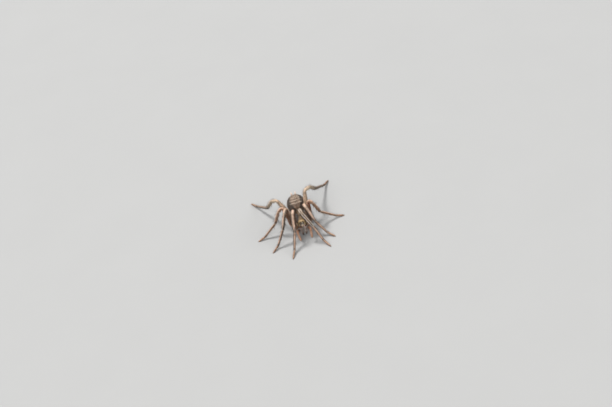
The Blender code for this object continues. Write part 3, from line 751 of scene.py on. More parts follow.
def carapace_chart():
    """The shield over head and thorax, with its pit, grooves, furrows, rim and eye rims."""
    points, y, off_top, share = loft_points(CARAPACE, 120, 112, COAT_DEPTH["carapace"])
    x = points[..., 0]
    upper = smooth_step(np.cos(off_top), -0.05, 0.25)
    pit = blob(x, y - FOVEA_Y, 0.09, 0.30)
    # The two grooves behind the head, from beside the pit out to the neck
    start, line = np.array((0.10, 0.75)), np.array((1.10, -1.50))
    offset = np.stack(np.broadcast_arrays(np.abs(x), y), axis=-1) - start
    along = np.clip(offset @ line / (line @ line), 0.0, 1.0)
    groove = peak(np.linalg.norm(offset - along[..., None] * line, axis=-1), 0.0, 0.13)
    # Shallow furrows that run out from the pit to each coxa
    bearing = np.arctan2(np.abs(x), FOVEA_Y - y)
    away = np.hypot(x, y - FOVEA_Y)
    furrow = sum(peak(bearing, math.radians(angle), 0.10) for angle in (62, 92, 122))
    furrow = furrow * smooth_step(away, 0.25, 0.6) * (1 - smooth_step(away, 1.2, 1.65))
    rim = peak(off_top, 1.62, 0.10) * smooth_step(y, -1.9, -1.2)
    lift = -upper * (0.10 * pit + 0.065 * groove + 0.035 * furrow) + 0.03 * rim
    eye_rim = eye_patch = 0.0
    for _, _, middle, radius in eye_places():
        gap = np.linalg.norm(points - middle, axis=-1) / radius
        eye_rim = np.maximum(eye_rim, peak(gap, 1.0, 0.55))
        eye_patch = np.maximum(eye_patch, peak(gap, 0.5, 1.6))
        lift = lift + 0.018 * peak(gap, 1.30, 0.22)

    # The pale middle between the two dark bands, and the ragged outer edge of the bands
    inner = read_table(PALE_MIDDLE, y[:, 0])
    ragged = 0.05 * np.cos(9 * bearing)
    band = smooth_step(share, inner - 0.06, inner + 0.07)
    band = band * (1 - smooth_step(share, 0.80 + ragged, 0.90 + ragged))
    face = smooth_step(-y, 2.02, 2.25)
    # behind is painted shade: the carapace behind the head is darkened and its pale middle dimmed, as
    # if shaded by the legs
    behind = smooth_step(y, -1.60, -0.95) * (1 - smooth_step(share, 0.6, 0.8))
    dark = 0.95 * band * upper * (1 - face) + 0.5 * groove * upper + 0.7 * pit + 0.35 * furrow
    dark = dark + 0.52 * behind * (1 - band) * upper + 0.9 * eye_rim + 0.5 * eye_patch
    dark = dark + 0.8 * peak(off_top, 1.60, 0.07) * (1 - face)
    edge = 0.55 * smooth_step(share, 0.86, 0.93) * upper * (1 - face)
    below = 1 - upper
    marks = {
        # pale is dimmed here by the painted shade behind the head
        "pale": np.clip((1 - band) * upper * (1 - 0.35 * face) * (1 - 0.7 * behind), 0.0, 1.0),
        "red": 0.25 * band + 0.35 * face,
        "dark": np.clip(dark, 0.0, 1.0) * (1 - 0.3 * below),
        "frost": edge + 0.65 * face * (1 - eye_patch),
        "soft": np.clip(below - 0.2, 0.0, 1.0),
    }
    return Chart("carapace", "carapace", lifted(points, lift), marks)


def abdomen_chart():
    """The abdomen: waist, folds and muscle spots, its leaf of chevrons, and below, the slit with
    the covers of the two lungs and a small bare plate in front of it."""
    points, y, off_top, _ = loft_points(ABDOMEN, 150, 132, COAT_DEPTH["abdomen"])
    x = points[..., 0]
    share = (y - PATTERN_START) / PATTERN_LENGTH
    down = -np.cos(off_top)
    upper = smooth_step(-down, -0.1, 0.3)
    spots = sum(blob(np.abs(x) - out, y - back, 0.12, 0.15) for out, back in MUSCLE_SPOTS)
    wrinkle = np.sin(y * 11 + 1.5 * np.cos(2 * off_top)) * smooth_step(share, 0.72, 0.95)
    flank = peak(off_top, 1.75, 0.45) * np.sin(y * 7.5 + 2.2 * off_top)
    under = smooth_step(down, 0.55, 0.8)
    slit = peak(y + 0.25 * np.cos(x * 2), 4.45, 0.07) * smooth_step(down, 0.75, 0.95)
    lung = blob(np.abs(x) - 0.72, y - 4.02, 0.40, 0.30, power=4) * under
    plate = blob(x, y - 3.98, 0.24, 0.15, power=4) * under
    lift = -0.04 * peak(y, 2.72, 0.16) - 0.035 * spots * upper + 0.012 * wrinkle + 0.012 * flank
    lift = lift - 0.05 * slit + 0.03 * lung + 0.045 * plate

    edge = read_table(LEAF_EDGE, share[:, 0])
    leaf = 1 - smooth_step(off_top, edge - 0.06, edge + 0.10)
    chevron = 0.0
    for number in range(6):
        arm = 0.95 - 0.09 * number
        bend = 0.10 * np.minimum(off_top, 1.2) ** 0.8
        on_line = peak(share - bend, 0.17 + 0.125 * number, 0.016)
        chevron = np.maximum(chevron, on_line * (1 - smooth_step(off_top, arm - 0.25, arm)))
    heart = peak(off_top, 0.0, 0.16) * smooth_step(share, 0.02, 0.1)
    heart = heart * (1 - smooth_step(share, 0.3, 0.45))
    side_dark = (1 - leaf) * (1 - smooth_step(off_top, 1.55, 2.25))
    belly_band = smooth_step(off_top, 2.65, 2.85) * smooth_step(share, 0.15, 0.3)
    belly = smooth_step(off_top, 1.9, 2.5)
    front = 1 - smooth_step(share, 0.0, 0.06)
    waist = 1 - smooth_step(y, 2.72, 3.05)
    dark = 0.85 * side_dark + 0.35 * peak(off_top, edge + 0.12, 0.10) + 0.45 * heart
    dark = dark + 0.6 * belly_band * (1 - lung) + 0.6 * plate
    marks = {
        "pale": np.clip(0.5 * belly * (1 - belly_band) + 0.45 * front + 0.45 * lung, 0.0, 1.0),
        "red": np.clip(leaf * (1 - 0.5 * heart), 0.0, 1.0),
        "dark": np.clip(dark, 0.0, 1.0),
        "cream": np.clip(chevron * (1 - belly), 0.0, 1.0),
        "frost": 0.15 * smooth_step(off_top, 1.3, 2.0) * (1 - belly_band),
        "soft": np.maximum(0.95 * waist, np.maximum(0.9 * lung, 0.5 * plate)),
    }
    return Chart("abdomen", "abdomen", lifted(points, lift), marks)


def sternum_chart():
    """The heart-shaped plate between the coxae, drawn up into the body above it."""
    points, _, off_top, share = loft_points(STERNUM, 50, 48, 0.0)
    points[..., 2] += 0.35 * smooth_step(np.cos(off_top), 0.1, 0.7)
    dark, pale = 0.75 * smooth_step(share, 0.25, 0.55), 0.45 * (1 - smooth_step(share, 0.2, 0.5))
    return Chart("sternum", "sternum", points, {"dark": dark, "pale": pale})


def lobe_chart(name, region, middle, size, swing=0.0, **marks):
    """A small egg-shaped lobe of the body, such as a mouth part, swung about the vertical."""
    across, upward, back = ball_rings(22, 20, 0.04)
    shape = np.stack((across, -back, upward), axis=-1) * size
    return Chart(name, region, shape @ np.array(Matrix.Rotation(swing, 3, "Z")).T + middle, marks)


def mouth_and_tail_charts():
    """The lobes beside and below the mouth, and the knob above the spinnerets."""
    charts = [
        lobe_chart("lower_lip", "sternum", (0.0, -1.62, 1.50), (0.22, 0.26, 0.13), dark=0.6),
        lobe_chart("tail_knob", "spinneret", (0.0, 8.72, 2.92), (0.22, 0.36, 0.17), pale=0.4),
    ]
    for side, side_name in SIDE_NAMES.items():
        place, size = (side * 0.36, -1.95, 1.52), (0.20, 0.46, 0.20)
        name = f"mouth_lobe_{side_name}"
        charts.append(lobe_chart(name, "leg", place, size, side * 0.25, pale=0.4, red=0.6))
    return charts


@functools.cache
def sheets():
    """Every sheet of skin by name, made once for all operators, with the carapace first."""
    charts = [carapace_chart(), abdomen_chart(), sternum_chart()]
    for side in SIDE_NAMES:
        charts += [leg_chart(side, number) for number in LEG_LENGTHS]
        charts.append(palp_chart(side))
        charts += [spinneret_chart(name, side) for name in SPINNERETS]
    return {chart.name: chart for chart in charts + mouth_and_tail_charts()}


class Model:
    """What the operators share: the finished skin's surface and the sheets of the jaws."""

    skin = None
    jaws = []


def legs_of(side_name):
    """The sheets of the four legs of one side."""
    return [sheets()[f"leg_{number}_{side_name}"] for number in LEG_LENGTHS]


def joined_skin(charts):
    """One closed skin from all sheets, with the markings carried over to its new points."""
    objects = [bpy.data.objects.new(chart.name, chart.as_mesh()) for chart in charts]
    group = bpy.data.collections.new("skin_pieces")
    bpy.context.scene.collection.children.link(group)
    bpy.context.scene.collection.objects.link(objects[0])
    for other in objects[1:]:
        group.objects.link(other)
    union = objects[0].modifiers.new("union", "BOOLEAN")
    union.operation = "UNION"
    union.operand_type = "COLLECTION"
    union.collection = group
    union.solver = "MANIFOLD"
    bpy.context.view_layer.update()
    seen = objects[0].evaluated_get(bpy.context.evaluated_depsgraph_get())
    mesh = bpy.data.meshes.new_from_object(seen)
    for thing in objects:
        bpy.data.objects.remove(thing, do_unlink=True)
    bpy.data.collections.remove(group)
    mesh.name = "spider_skin"
    mesh.materials.clear()
    fill_new_points(mesh)
    return mesh


def fill_new_points(mesh):
    """Give the points where two sheets meet the markings of the nearest old point, and each face
    the finish of its sheet."""
    region = get_attribute(mesh, "region")
    old, new = np.flatnonzero(region > 0.5), np.flatnonzero(region <= 0.5)
    tree = KDTree(len(old))
    for place, index in enumerate(old.tolist()):
        tree.insert(mesh.vertices[index].co, place)
    tree.balance()
    nearest = old[[tree.find(mesh.vertices[index].co)[1] for index in new.tolist()]]
    starts = read_all(mesh.polygons, "loop_start")
    corners = read_all(mesh.loops, "vertex_index")
    finish = np.maximum.reduceat(region[corners], starts)
    for kind in MARKINGS:
        values = get_attribute(mesh, kind)
        values[new] = values[nearest]
        set_attribute(mesh, kind, values)
    region[new] = region[nearest]
    finish = np.where(finish > 0.5, finish, region[corners[starts]])
    mesh.polygons.foreach_set("material_index", (finish - 1).astype(np.int32))
    mesh.attributes.remove(mesh.attributes["region"])


# Hairs, bristles and spines


def sample_roots(charts, count, dice, density):
    """Spread roots over sheets by area and density.

    density takes a sheet and returns a weight for each of its points. Returns each root's place,
    normal, lie, markings and place on its piece's UV map, where each sheet has a strip.
    """
    areas = []
    for chart in charts:
        here = chart.points[:-1]
        sides = chart.points[1:] - here, np.roll(chart.points, -1, axis=1)[:-1] - here
        areas.append(np.linalg.norm(np.cross(*sides), axis=-1) * density(chart)[:-1])
    totals = np.array([area.sum() for area in areas])
    shares = totals / totals.sum()
    strips = np.concatenate(([0.0], np.cumsum(shares)))
    found = []
    for chart, area, share, strip in zip(charts, areas, shares, strips):
        amount = round(count * share)
        chosen = dice.choice(area.size, size=amount, p=(area / area.sum()).ravel())
        row, column = np.unravel_index(chosen, area.shape)
        down, right = dice.random(amount), dice.random(amount)
        rows, columns = chart.points.shape[:2]
        beside = (column + 1) % columns

        def mixed(grid):
            """The grid's value at each root, from the four corners round it."""
            return sum(
                (grid[line, corner].T * (down_weight * across_weight)).T
                for line, down_weight in ((row, 1 - down), (row + 1, down))
                for corner, across_weight in ((column, 1 - right), (beside, right))
            )

        u = strip + (column + right) / columns * share
        v = (row + down) / (rows - 1)
        found.append({
            "root": mixed(chart.points),
            "normal": unit(mixed(chart.normals)),
            "lie": unit(mixed(chart.lie)),
            "uv": np.stack((u, v), axis=-1),
            "place": v,
            **{kind: mixed(grid) for kind, grid in chart.marks.items()},
        })
    joined = {kind: np.concatenate([part[kind] for part in found]) for kind in found[0]}
    return SimpleNamespace(**joined)


def roots_at(chart, spots):
    """Roots at given (distance, angle in degrees) spots of a limb's sheet."""
    places, angles = np.array(spots).T
    rows, columns = chart.points.shape[:2]
    row = np.searchsorted(chart.distances, places).clip(1, rows - 2)
    column = np.round(angles / 360 * columns).astype(int) % columns
    return SimpleNamespace(
        root=chart.points[row, column], normal=chart.normals[row, column],
        lie=chart.lie[row, column], place=row / rows,
        uv=np.stack((column / columns, row / rows), axis=-1),
        **{kind: grid[row, column] for kind, grid in chart.marks.items()},
    )


def on_surface(roots, surface):
    """Keep the roots that lie on the joined skin, and drop those inside it."""
    near = ROOT_OFF_SKIN * MM
    kept = [
        index for index, place in enumerate(to_frame(roots.root).tolist())
        if surface.find_nearest(Vector(place), near)[0] is not None
    ]
    return SimpleNamespace(**{kind: values[kept] for kind, values in vars(roots).items()})


def hair_shapes(roots, length, width, lift, droop, sway, sides, rings):
    """The points of tapered hairs as (hairs, points of one hair, 3), from one value for each.

    lift is the angle off the skin at the root, and droop the share of it that is left at the tip.
    """
    side = unit(np.cross(roots.normal, roots.lie))
    turned = roots.lie * np.cos(sway)[:, None] + side * np.sin(sway)[:, None]
    side = unit(np.cross(roots.normal, turned))
    step, half = (length / rings)[:, None], (width / 2)[:, None]
    place = roots.root - roots.normal * half * 0.6
    points = []
    for ring in range(rings):
        share = ring / rings
        angle = lift * (1 + (droop - 1) * share)
        ahead = turned * np.cos(angle)[:, None] + roots.normal * np.sin(angle)[:, None]
        other = np.cross(ahead, side)
        slim = half * (1 - share) ** 0.6
        for corner in range(sides):
            turn = 2 * math.pi * corner / sides
            points.append(place + (side * math.cos(turn) + other * math.sin(turn)) * slim)
        place = place + ahead * step
    shape = np.stack([*points, place], axis=1)
    shape[..., 2] = shape[..., 2].clip(HAIR_OFF_FLOOR)
    return shape


def hair_faces(sides, rings):
    """The faces of one hair as lists of its points."""
    pairs = [(corner, (corner + 1) % sides) for corner in range(sides)]
    faces = [
        (low + corner, low + after, low + sides + after, low + sides + corner)
        for low in range(0, (rings - 1) * sides, sides) for corner, after in pairs
    ]
    low = (rings - 1) * sides
    return faces + [(low + corner, low + after, rings * sides) for corner, after in pairs]


def hair_object(name, batches, finish, slot, dice):
    """One piece from batches of (roots, shapes, sides, rings), with markings and its UV map."""
    points, corners, starts, uvs = [], [], [], []
    marks = {kind: [] for kind in (*MARKINGS, "tint", "reach")}
    point_base = corner_base = 0
    for roots, shapes, sides, rings in batches:
        count, per_hair = shapes.shape[:2]
        points.append(shapes.reshape(-1, 3))
        faces = hair_faces(sides, rings)
        flat = np.concatenate(faces)
        offsets = np.cumsum([0, *map(len, faces[:-1])])
        hair = np.arange(count)[:, None]
        corners.append((hair * per_hair + flat + point_base).ravel())
        starts.append((hair * len(flat) + offsets + corner_base).ravel())
        ring, turn = np.divmod(np.arange(per_hair), sides)
        patch = np.stack((turn / (sides - 1) - 0.5, ring / rings - 0.5), axis=-1) * HAIR_PATCH
        patch[-1, 0] = 0.0
        uvs.append((roots.uv[:, None] + patch)[:, flat].reshape(-1, 2))
        for kind in MARKINGS:
            marks[kind].append(np.repeat(getattr(roots, kind), per_hair))
        marks["tint"].append(np.repeat(dice.random(count), per_hair))
        marks["reach"].append(np.tile(ring / rings, count))
        point_base += count * per_hair
        corner_base += count * len(flat)
    mesh = bpy.data.meshes.new(name)
    for items, field, parts, kind in (
        (mesh.vertices, "co", [to_frame(part) for part in points], np.float32),
        (mesh.loops, "vertex_index", corners, np.int32),
        (mesh.polygons, "loop_start", starts, np.int32),
    ):
        values = np.concatenate(parts).astype(kind)
        items.add(len(values))
        items.foreach_set(field, values.ravel())
    mesh.update(calc_edges=True)
    layer = mesh.uv_layers.new(name="OFBake")
    layer.uv.foreach_set("vector", np.concatenate(uvs).clip(0.0, 1.0).astype(np.float32).ravel())
    for kind, parts in marks.items():
        set_attribute(mesh, kind, np.concatenate(parts))
    mesh.shade_smooth()
    mesh.materials.append(finish)
    return place_piece(name, mesh, slot)


def scatter(dice, name, charts, look, count, size, kind, shortens=0.0, part=None, on_skin=True):
    """One piece of hairs spread over sheets.

    look is its (finish, slot), size a hair's (length, width, lift) and kind how hairs vary.
    shortens is how much shorter they get towards a limb's end, and part weighs a sheet's points.
    """
    bare = kind.bare if on_skin else 1.0

    def density(chart):
        """Where hair stands close, thinned out on soft skin."""
        weight = 1.0 - bare * chart.marks["soft"]
        return weight * part(chart) if part else weight

    roots = sample_roots(charts, count, dice, density)
    if on_skin:
        roots = on_surface(roots, Model.skin)
    amount = len(roots.root)
    length, width, lift = size
    fall = 1.0 - shortens * smooth_step(roots.place, kind.shortens_from, 1.0)
    shapes = hair_shapes(
        roots, length * fall * dice.uniform(*kind.lengths, amount),
        width * dice.uniform(*kind.widths, amount), lift * dice.uniform(*kind.lifts, amount),
        kind.droop, dice.normal(0.0, kind.sway, amount), 3, kind.rings,
    )
    return hair_object(name, [(roots, shapes, 3, kind.rings)], *look, dice)


def add_object(name, data):
    """An object in the scene that shows the given data."""
    made = bpy.data.objects.new(name, data)
    bpy.context.scene.collection.objects.link(made)
    return made


def place_piece(name, mesh, slot, replaced=()):
    """Put a mesh in the scene as a piece of the spider."""
    made = add_object(name, mesh)
    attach(made, "root")
    if replaced:
        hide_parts(*replaced)
    return made


def place_shell(chart, finish, slot, node, **values):
    """Put a closed sheet in place of one solid. values are more attributes of its points."""
    mesh = chart.as_mesh()
    for name, value in values.items():
        set_attribute(mesh, name, value)
    mesh.materials.append(finish)
    return place_piece(chart.name, mesh, slot, [node])


# Finishes


def put(tree, node, values):
    """Set a node's inputs to values, or link them to sockets."""
    for name, value in values.items():
        if isinstance(value, bpy.types.NodeSocket):
            tree.links.new(value, node.inputs[name])
        else:
            node.inputs[name].default_value = value


def add_node(tree, kind, inputs=None, **settings):
    """A node with its settings, and its inputs set to values or linked to sockets."""
    node = tree.nodes.new(kind)
    for name, value in settings.items():
        setattr(node, name, value)
    put(tree, node, inputs or {})
    return node


def math_node(tree, operation, *values, clamp=False):
    """The result of a Math node on values or sockets."""
    inputs = dict(enumerate(values))
    node = add_node(tree, "ShaderNodeMath", inputs, operation=operation, use_clamp=clamp)
    return node.outputs[0]


def mix_colour(tree, factor, first, second, how="MIX"):
    """Two colours mixed by a factor."""
    inputs = {0: factor, 6: first, 7: second}
    return add_node(tree, "ShaderNodeMix", inputs, data_type="RGBA", blend_type=how).outputs[2]


def shaded(tree, colour, light):
    """A colour times a grey value."""
    grey = add_node(tree, "ShaderNodeCombineXYZ", {"X": light, "Y": light, "Z": light}).outputs[0]
    return mix_colour(tree, 1.0, colour, grey, how="MULTIPLY")


def bump(tree, height, strength, distance):
    """The normal of a surface with a fine relief, its distance in millimetres."""
    inputs = {"Height": height, "Strength": strength, "Distance": distance * MM}
    return add_node(tree, "ShaderNodeBump", inputs).outputs["Normal"]


def attribute_value(tree, name):
    """The value of one of the mesh's own attributes."""
    node = add_node(tree, "ShaderNodeAttribute", attribute_type="GEOMETRY", attribute_name=name)
    return node.outputs["Fac"]


def noise(tree, scale, detail=3.0):
    """Fine-grained noise in the object's own coordinates, with the scale per metre."""
    where = add_node(tree, "ShaderNodeTexCoord").outputs["Object"]
    inputs = {"Vector": where, "Scale": scale, "Detail": detail, "Roughness": 0.55}
    return add_node(tree, "ShaderNodeTexNoise", inputs).outputs["Fac"]


def new_group(name, inputs, outputs):
    """An empty shader node group with named sockets. Returns its tree, input and output nodes."""
    tree = bpy.data.node_groups.new(name, "ShaderNodeTree")
    for in_out, sockets in (("INPUT", inputs), ("OUTPUT", outputs)):
        for socket, kind in sockets.items():
            tree.interface.new_socket(socket, in_out=in_out, socket_type=f"NodeSocket{kind}")
    return tree, tree.nodes.new("NodeGroupInput"), tree.nodes.new("NodeGroupOutput")


def markings_group():
    """Lays the markings that skin and coat share over a ground colour, with uneven edges."""
    if "Spider Markings" in bpy.data.node_groups:
        return bpy.data.node_groups["Spider Markings"]
    marks = [kind.capitalize() for kind in MARKINGS]
    inputs = {**dict.fromkeys(["Ground", *marks], "Color"), "Unevenness": "Float"}
    outputs = {"Colour": "Color", "Mask": "Float"}
    tree, given, result = new_group("Spider Markings", inputs, outputs)
    coarse, fine = noise(tree, 3200.0, 4.0), noise(tree, 14000.0)
    both = math_node(tree, "ADD", coarse, math_node(tree, "MULTIPLY", fine, 0.6))
    centred = math_node(tree, "SUBTRACT", both, 0.8)
    shaken = math_node(tree, "MULTIPLY", centred, given.outputs["Unevenness"])
    light = math_node(tree, "MULTIPLY_ADD", centred, 0.9, 1.0)
    colour = given.outputs["Ground"]
    for name in marks:
        mask = attribute_value(tree, name.lower())
        shown = math_node(tree, "GREATER_THAN", mask, 0.02)
        pushed = math_node(tree, "MULTIPLY", shaken, shown)
        factor = math_node(tree, "ADD", mask, pushed, clamp=True)
        colour = mix_colour(tree, factor, colour, given.outputs[name])
    put(tree, result, {"Colour": shaded(tree, colour, light), "Mask": fine})
    return tree


def grain_group():
    """The fine relief of cuticle: a pebbled grain with the pits that hairs stand in."""
    if "Cuticle Grain" in bpy.data.node_groups:
        return bpy.data.node_groups["Cuticle Grain"]
    inputs = {"Grain Scale": "Float", "Pit Scale": "Float"}
    tree, given, result = new_group("Cuticle Grain", inputs, {"Height": "Float"})
    where = add_node(tree, "ShaderNodeTexCoord").outputs["Object"]
    inputs = {"Vector": where, "Scale": given.outputs["Grain Scale"]}
    grain = add_node(tree, "ShaderNodeTexNoise", inputs).outputs["Fac"]
    inputs = {"Vector": where, "Scale": given.outputs["Pit Scale"]}
    cells = add_node(tree, "ShaderNodeTexVoronoi", inputs).outputs["Distance"]
    pits = math_node(tree, "SMOOTH_MIN", cells, 0.35, 0.2)
    total = math_node(tree, "ADD", grain, math_node(tree, "MULTIPLY", pits, 1.5))
    put(tree, result, {"Height": total})
    return tree


def new_material(name):
    """A material with its tree and its Principled shader."""
    made = bpy.data.materials.new(name)
    made.use_nodes = True
    return made, made.node_tree, made.node_tree.nodes["Principled BSDF"]


def linear(colour):
    """A colour picker's three values as a socket's four."""
    return (*colour, 1.0)


def scaled(colour, factor):
    """A colour's three values times a factor."""
    return [factor * value for value in colour]


def cuticle(region):
    """The skin's finish: shared markings over a ground, a fine grain and a soft shine."""
    made, tree, shader = new_material(f"{region}_cuticle")
    inputs = {**palette(region), "Unevenness": 0.45}
    group = add_node(tree, "ShaderNodeGroup", inputs, node_tree=markings_group())
    inputs = {"Grain Scale": GRAIN_SCALE, "Pit Scale": GRAIN_SCALE * 0.35}
    relief = add_node(tree, "ShaderNodeGroup", inputs, node_tree=grain_group())
    normal = bump(tree, relief.outputs["Height"], 0.6, 0.006)
    least = REGIONS[region][0] - 0.15
    rough = math_node(tree, "MULTIPLY_ADD", group.outputs["Mask"], 0.3, least)
    put(tree, shader, {
        "Base Color": group.outputs["Colour"], "Roughness": rough, "Normal": normal,
        "Specular IOR Level": 0.4,
    })
    return made


def hair_finish(region):
    """A coat's finish: the skin's markings in hair colours, each hair a little different."""
    made, tree, shader = new_material(f"{region}_hair")
    colours = palette(region, in_coat=True)
    inputs = {**colours, "Unevenness": 0.55}
    group = add_node(tree, "ShaderNodeGroup", inputs, node_tree=markings_group())
    tint = math_node(tree, "MULTIPLY_ADD", attribute_value(tree, "tint"), 0.6, 0.7)
    reach = math_node(tree, "MULTIPLY_ADD", attribute_value(tree, "reach"), 0.4, 0.85)
    light = math_node(tree, "MULTIPLY", tint, reach)
    colour = shaded(tree, group.outputs["Colour"], light)
    plain = 1.0 - REGIONS[region][1]
    grizzled = math_node(tree, "GREATER_THAN", attribute_value(tree, "tint"), plain)
    grizzled = math_node(tree, "MULTIPLY", grizzled, 0.6)
    put(tree, shader, {
        "Base Color": mix_colour(tree, grizzled, colour, colours["Frost"]), "Roughness": 0.5,
        "Specular IOR Level": 0.3, "Sheen Weight": 0.12, "Sheen Roughness": 0.4,
    })
    return made


def horn_finish(name, colour, tip_colour, roughness, coat=0.0):
    """A hard glossy finish that goes from one colour at the root to another at the tip."""
    made, tree, shader = new_material(name)
    base = mix_colour(tree, attribute_value(tree, "reach"), linear(colour), linear(tip_colour))
    patch = math_node(tree, "MULTIPLY_ADD", noise(tree, 9000.0), 0.7, 0.65)
    rough = math_node(tree, "MULTIPLY_ADD", noise(tree, 27000.0, 2.0), 0.2, roughness - 0.1)
    normal = bump(tree, noise(tree, 36000.0, 2.0), 0.25, 0.004)
    put(tree, shader, {
        "Base Color": shaded(tree, base, patch), "Roughness": rough, "Normal": normal,
        "Coat Weight": coat, "Coat Roughness": 0.08,
    })
    return made


# What a user may change


def colour_property(name, description, default):
    """A colour that the panel offers."""
    return FloatVectorProperty(
        name=name, description=description, subtype="COLOR", size=3, min=0.0, max=1.0, default=default
    )


def length_property(name, description, default, highest, lowest=0.1):
    """A length that the panel offers, given here in millimetres."""
    return FloatProperty(
        name=name, description=description, default=default * MM, min=lowest * MM,
        max=highest * MM, unit="LENGTH", precision=5,
    )


def number_property(name, description, default):
    """A number of hairs that the panel offers."""
    return IntProperty(name=name, description=description, default=default, min=100, max=22000)


class SpiderColours(bpy.types.PropertyGroup):
    """Colours of skin and hair."""

    leg: colour_property("Leg", "Skin of the legs", (0.25, 0.115, 0.050))
    leg_pale: colour_property("Pale leg", "Skin of the hind shins and feet", (0.62, 0.500, 0.345))
    leg_red: colour_property("Red leg", "Skin of the thighs", (0.37, 0.125, 0.050))
    # The olive of the flanks is partly their own colour and partly painted shade on the sides of the
    # legs
    olive: colour_property("Flanks", "Sides of the legs", (0.090, 0.072, 0.050))
    dark: colour_property("Dark marks", "Rings and bands", (0.050, 0.031, 0.021))
    # Cream on the tops of the legs is partly pale hair and partly painted highlight; on the
    # spinnerets' tips it is their own pale colour
    cream: colour_property("Cream marks", "Lines along the tops of the legs", (0.885, 0.63, 0.475))
    chevron: colour_property("Chevrons", "Pale chevrons on the abdomen", (0.84, 0.71, 0.57))
    frost: colour_property("Frost", "Whitish hair", (0.88, 0.87, 0.87))
    belly_frost: colour_property("Abdomen frost", "Grizzled hair of the abdomen", (0.55, 0.43, 0.32))
    soft: colour_property("Soft skin", "Skin in the joints", (0.50, 0.36, 0.24))
    shield: colour_property("Shield", "Ground of the carapace", (0.30, 0.175, 0.080))
    shield_pale: colour_property("Pale shield", "Top of the head and pale bands", (0.62, 0.43, 0.20))
    # The abdomen's ground is partly its own dark brown and partly painted shade, made darker than it
    # is
    abdomen: colour_property("Abdomen", "Ground of the abdomen", (0.15, 0.100, 0.068))
    abdomen_red: colour_property("Leaf", "Band along the back", (0.185, 0.112, 0.070))
    belly: colour_property("Belly", "Underside of the abdomen", (0.30, 0.23, 0.16))
    jaw: colour_property("Jaw", "Chelicerae", (0.095, 0.032, 0.016))
    spine: colour_property("Spine", "Spines and bristles", (0.030, 0.018, 0.012))


class SpiderCoat(bpy.types.PropertyGroup):
    """Lengths and numbers of hairs."""

    leg_hair: length_property("Leg hair", "Length of the hair that lies on the legs", 0.30, 1.0)
    bristle: length_property("Bristle", "Length of the bristles that stand off the legs", 0.55, 2.0)
    spine: length_property("Spine", "Length of the longest leg spines", 1.15, 3.0, 0.3)
    body_hair: length_property("Body hair", "Length of the hair on the abdomen", 0.34, 1.0)
    leg_hairs: number_property("Leg hairs", "Lying hairs on the four legs of one side", 21000)
    body_hairs: number_property("Body hairs", "Hairs on the upper abdomen", 20000)


class SpiderStage(bpy.types.PropertyGroup):
    """Floor, light and camera."""

    floor: colour_property("Floor", "Colour of the floor", (0.365, 0.362, 0.354))
    key: FloatProperty(
        name="Key light", description="Strength of the main light", default=3.0, min=0.0
    )
    lens: FloatProperty(
        name="Lens", description="Focal length of the camera", default=60.0, min=10.0, unit="CAMERA"
    )


def settings():
    """The scene's own settings of colours, coat and stage."""
    scene = bpy.context.scene
    return scene.spider_colours, scene.spider_coat, scene.spider_stage


def palette(region, in_coat=False):
    """The colours that the markings take on one region's skin or, lighter, in its coat."""
    colours = settings()[0]
    chosen = {
        "Ground": colours.leg, "Pale": colours.leg_pale, "Red": colours.leg_red,
        "Olive": colours.olive, "Dark": colours.dark, "Cream": colours.cream,
        "Frost": colours.leg_pale, "Soft": colours.soft,
    }
    if region == "carapace":
        chosen.update(Ground=colours.shield, Pale=colours.shield_pale)
    if region in ("abdomen", "sternum"):
        chosen.update(Ground=colours.abdomen, Pale=colours.belly)
        chosen.update(Red=colours.abdomen_red, Cream=colours.chevron)
    if in_coat:
        chosen["Frost"] = colours.belly_frost if region == "abdomen" else colours.frost
        for name in ("Ground", "Pale", "Red", "Olive"):
            chosen[name] = [min(1.0, 1.25 * value + 0.02) for value in chosen[name]]
    # The carapace's coat has a darker dark, partly for its own dark bands and partly to deepen the
    # painted shade behind the head
    if in_coat and region == "carapace":
        chosen["Dark"] = scaled(colours.dark, 0.6)
    return {name: linear(colour) for name, colour in chosen.items()}


# Operators


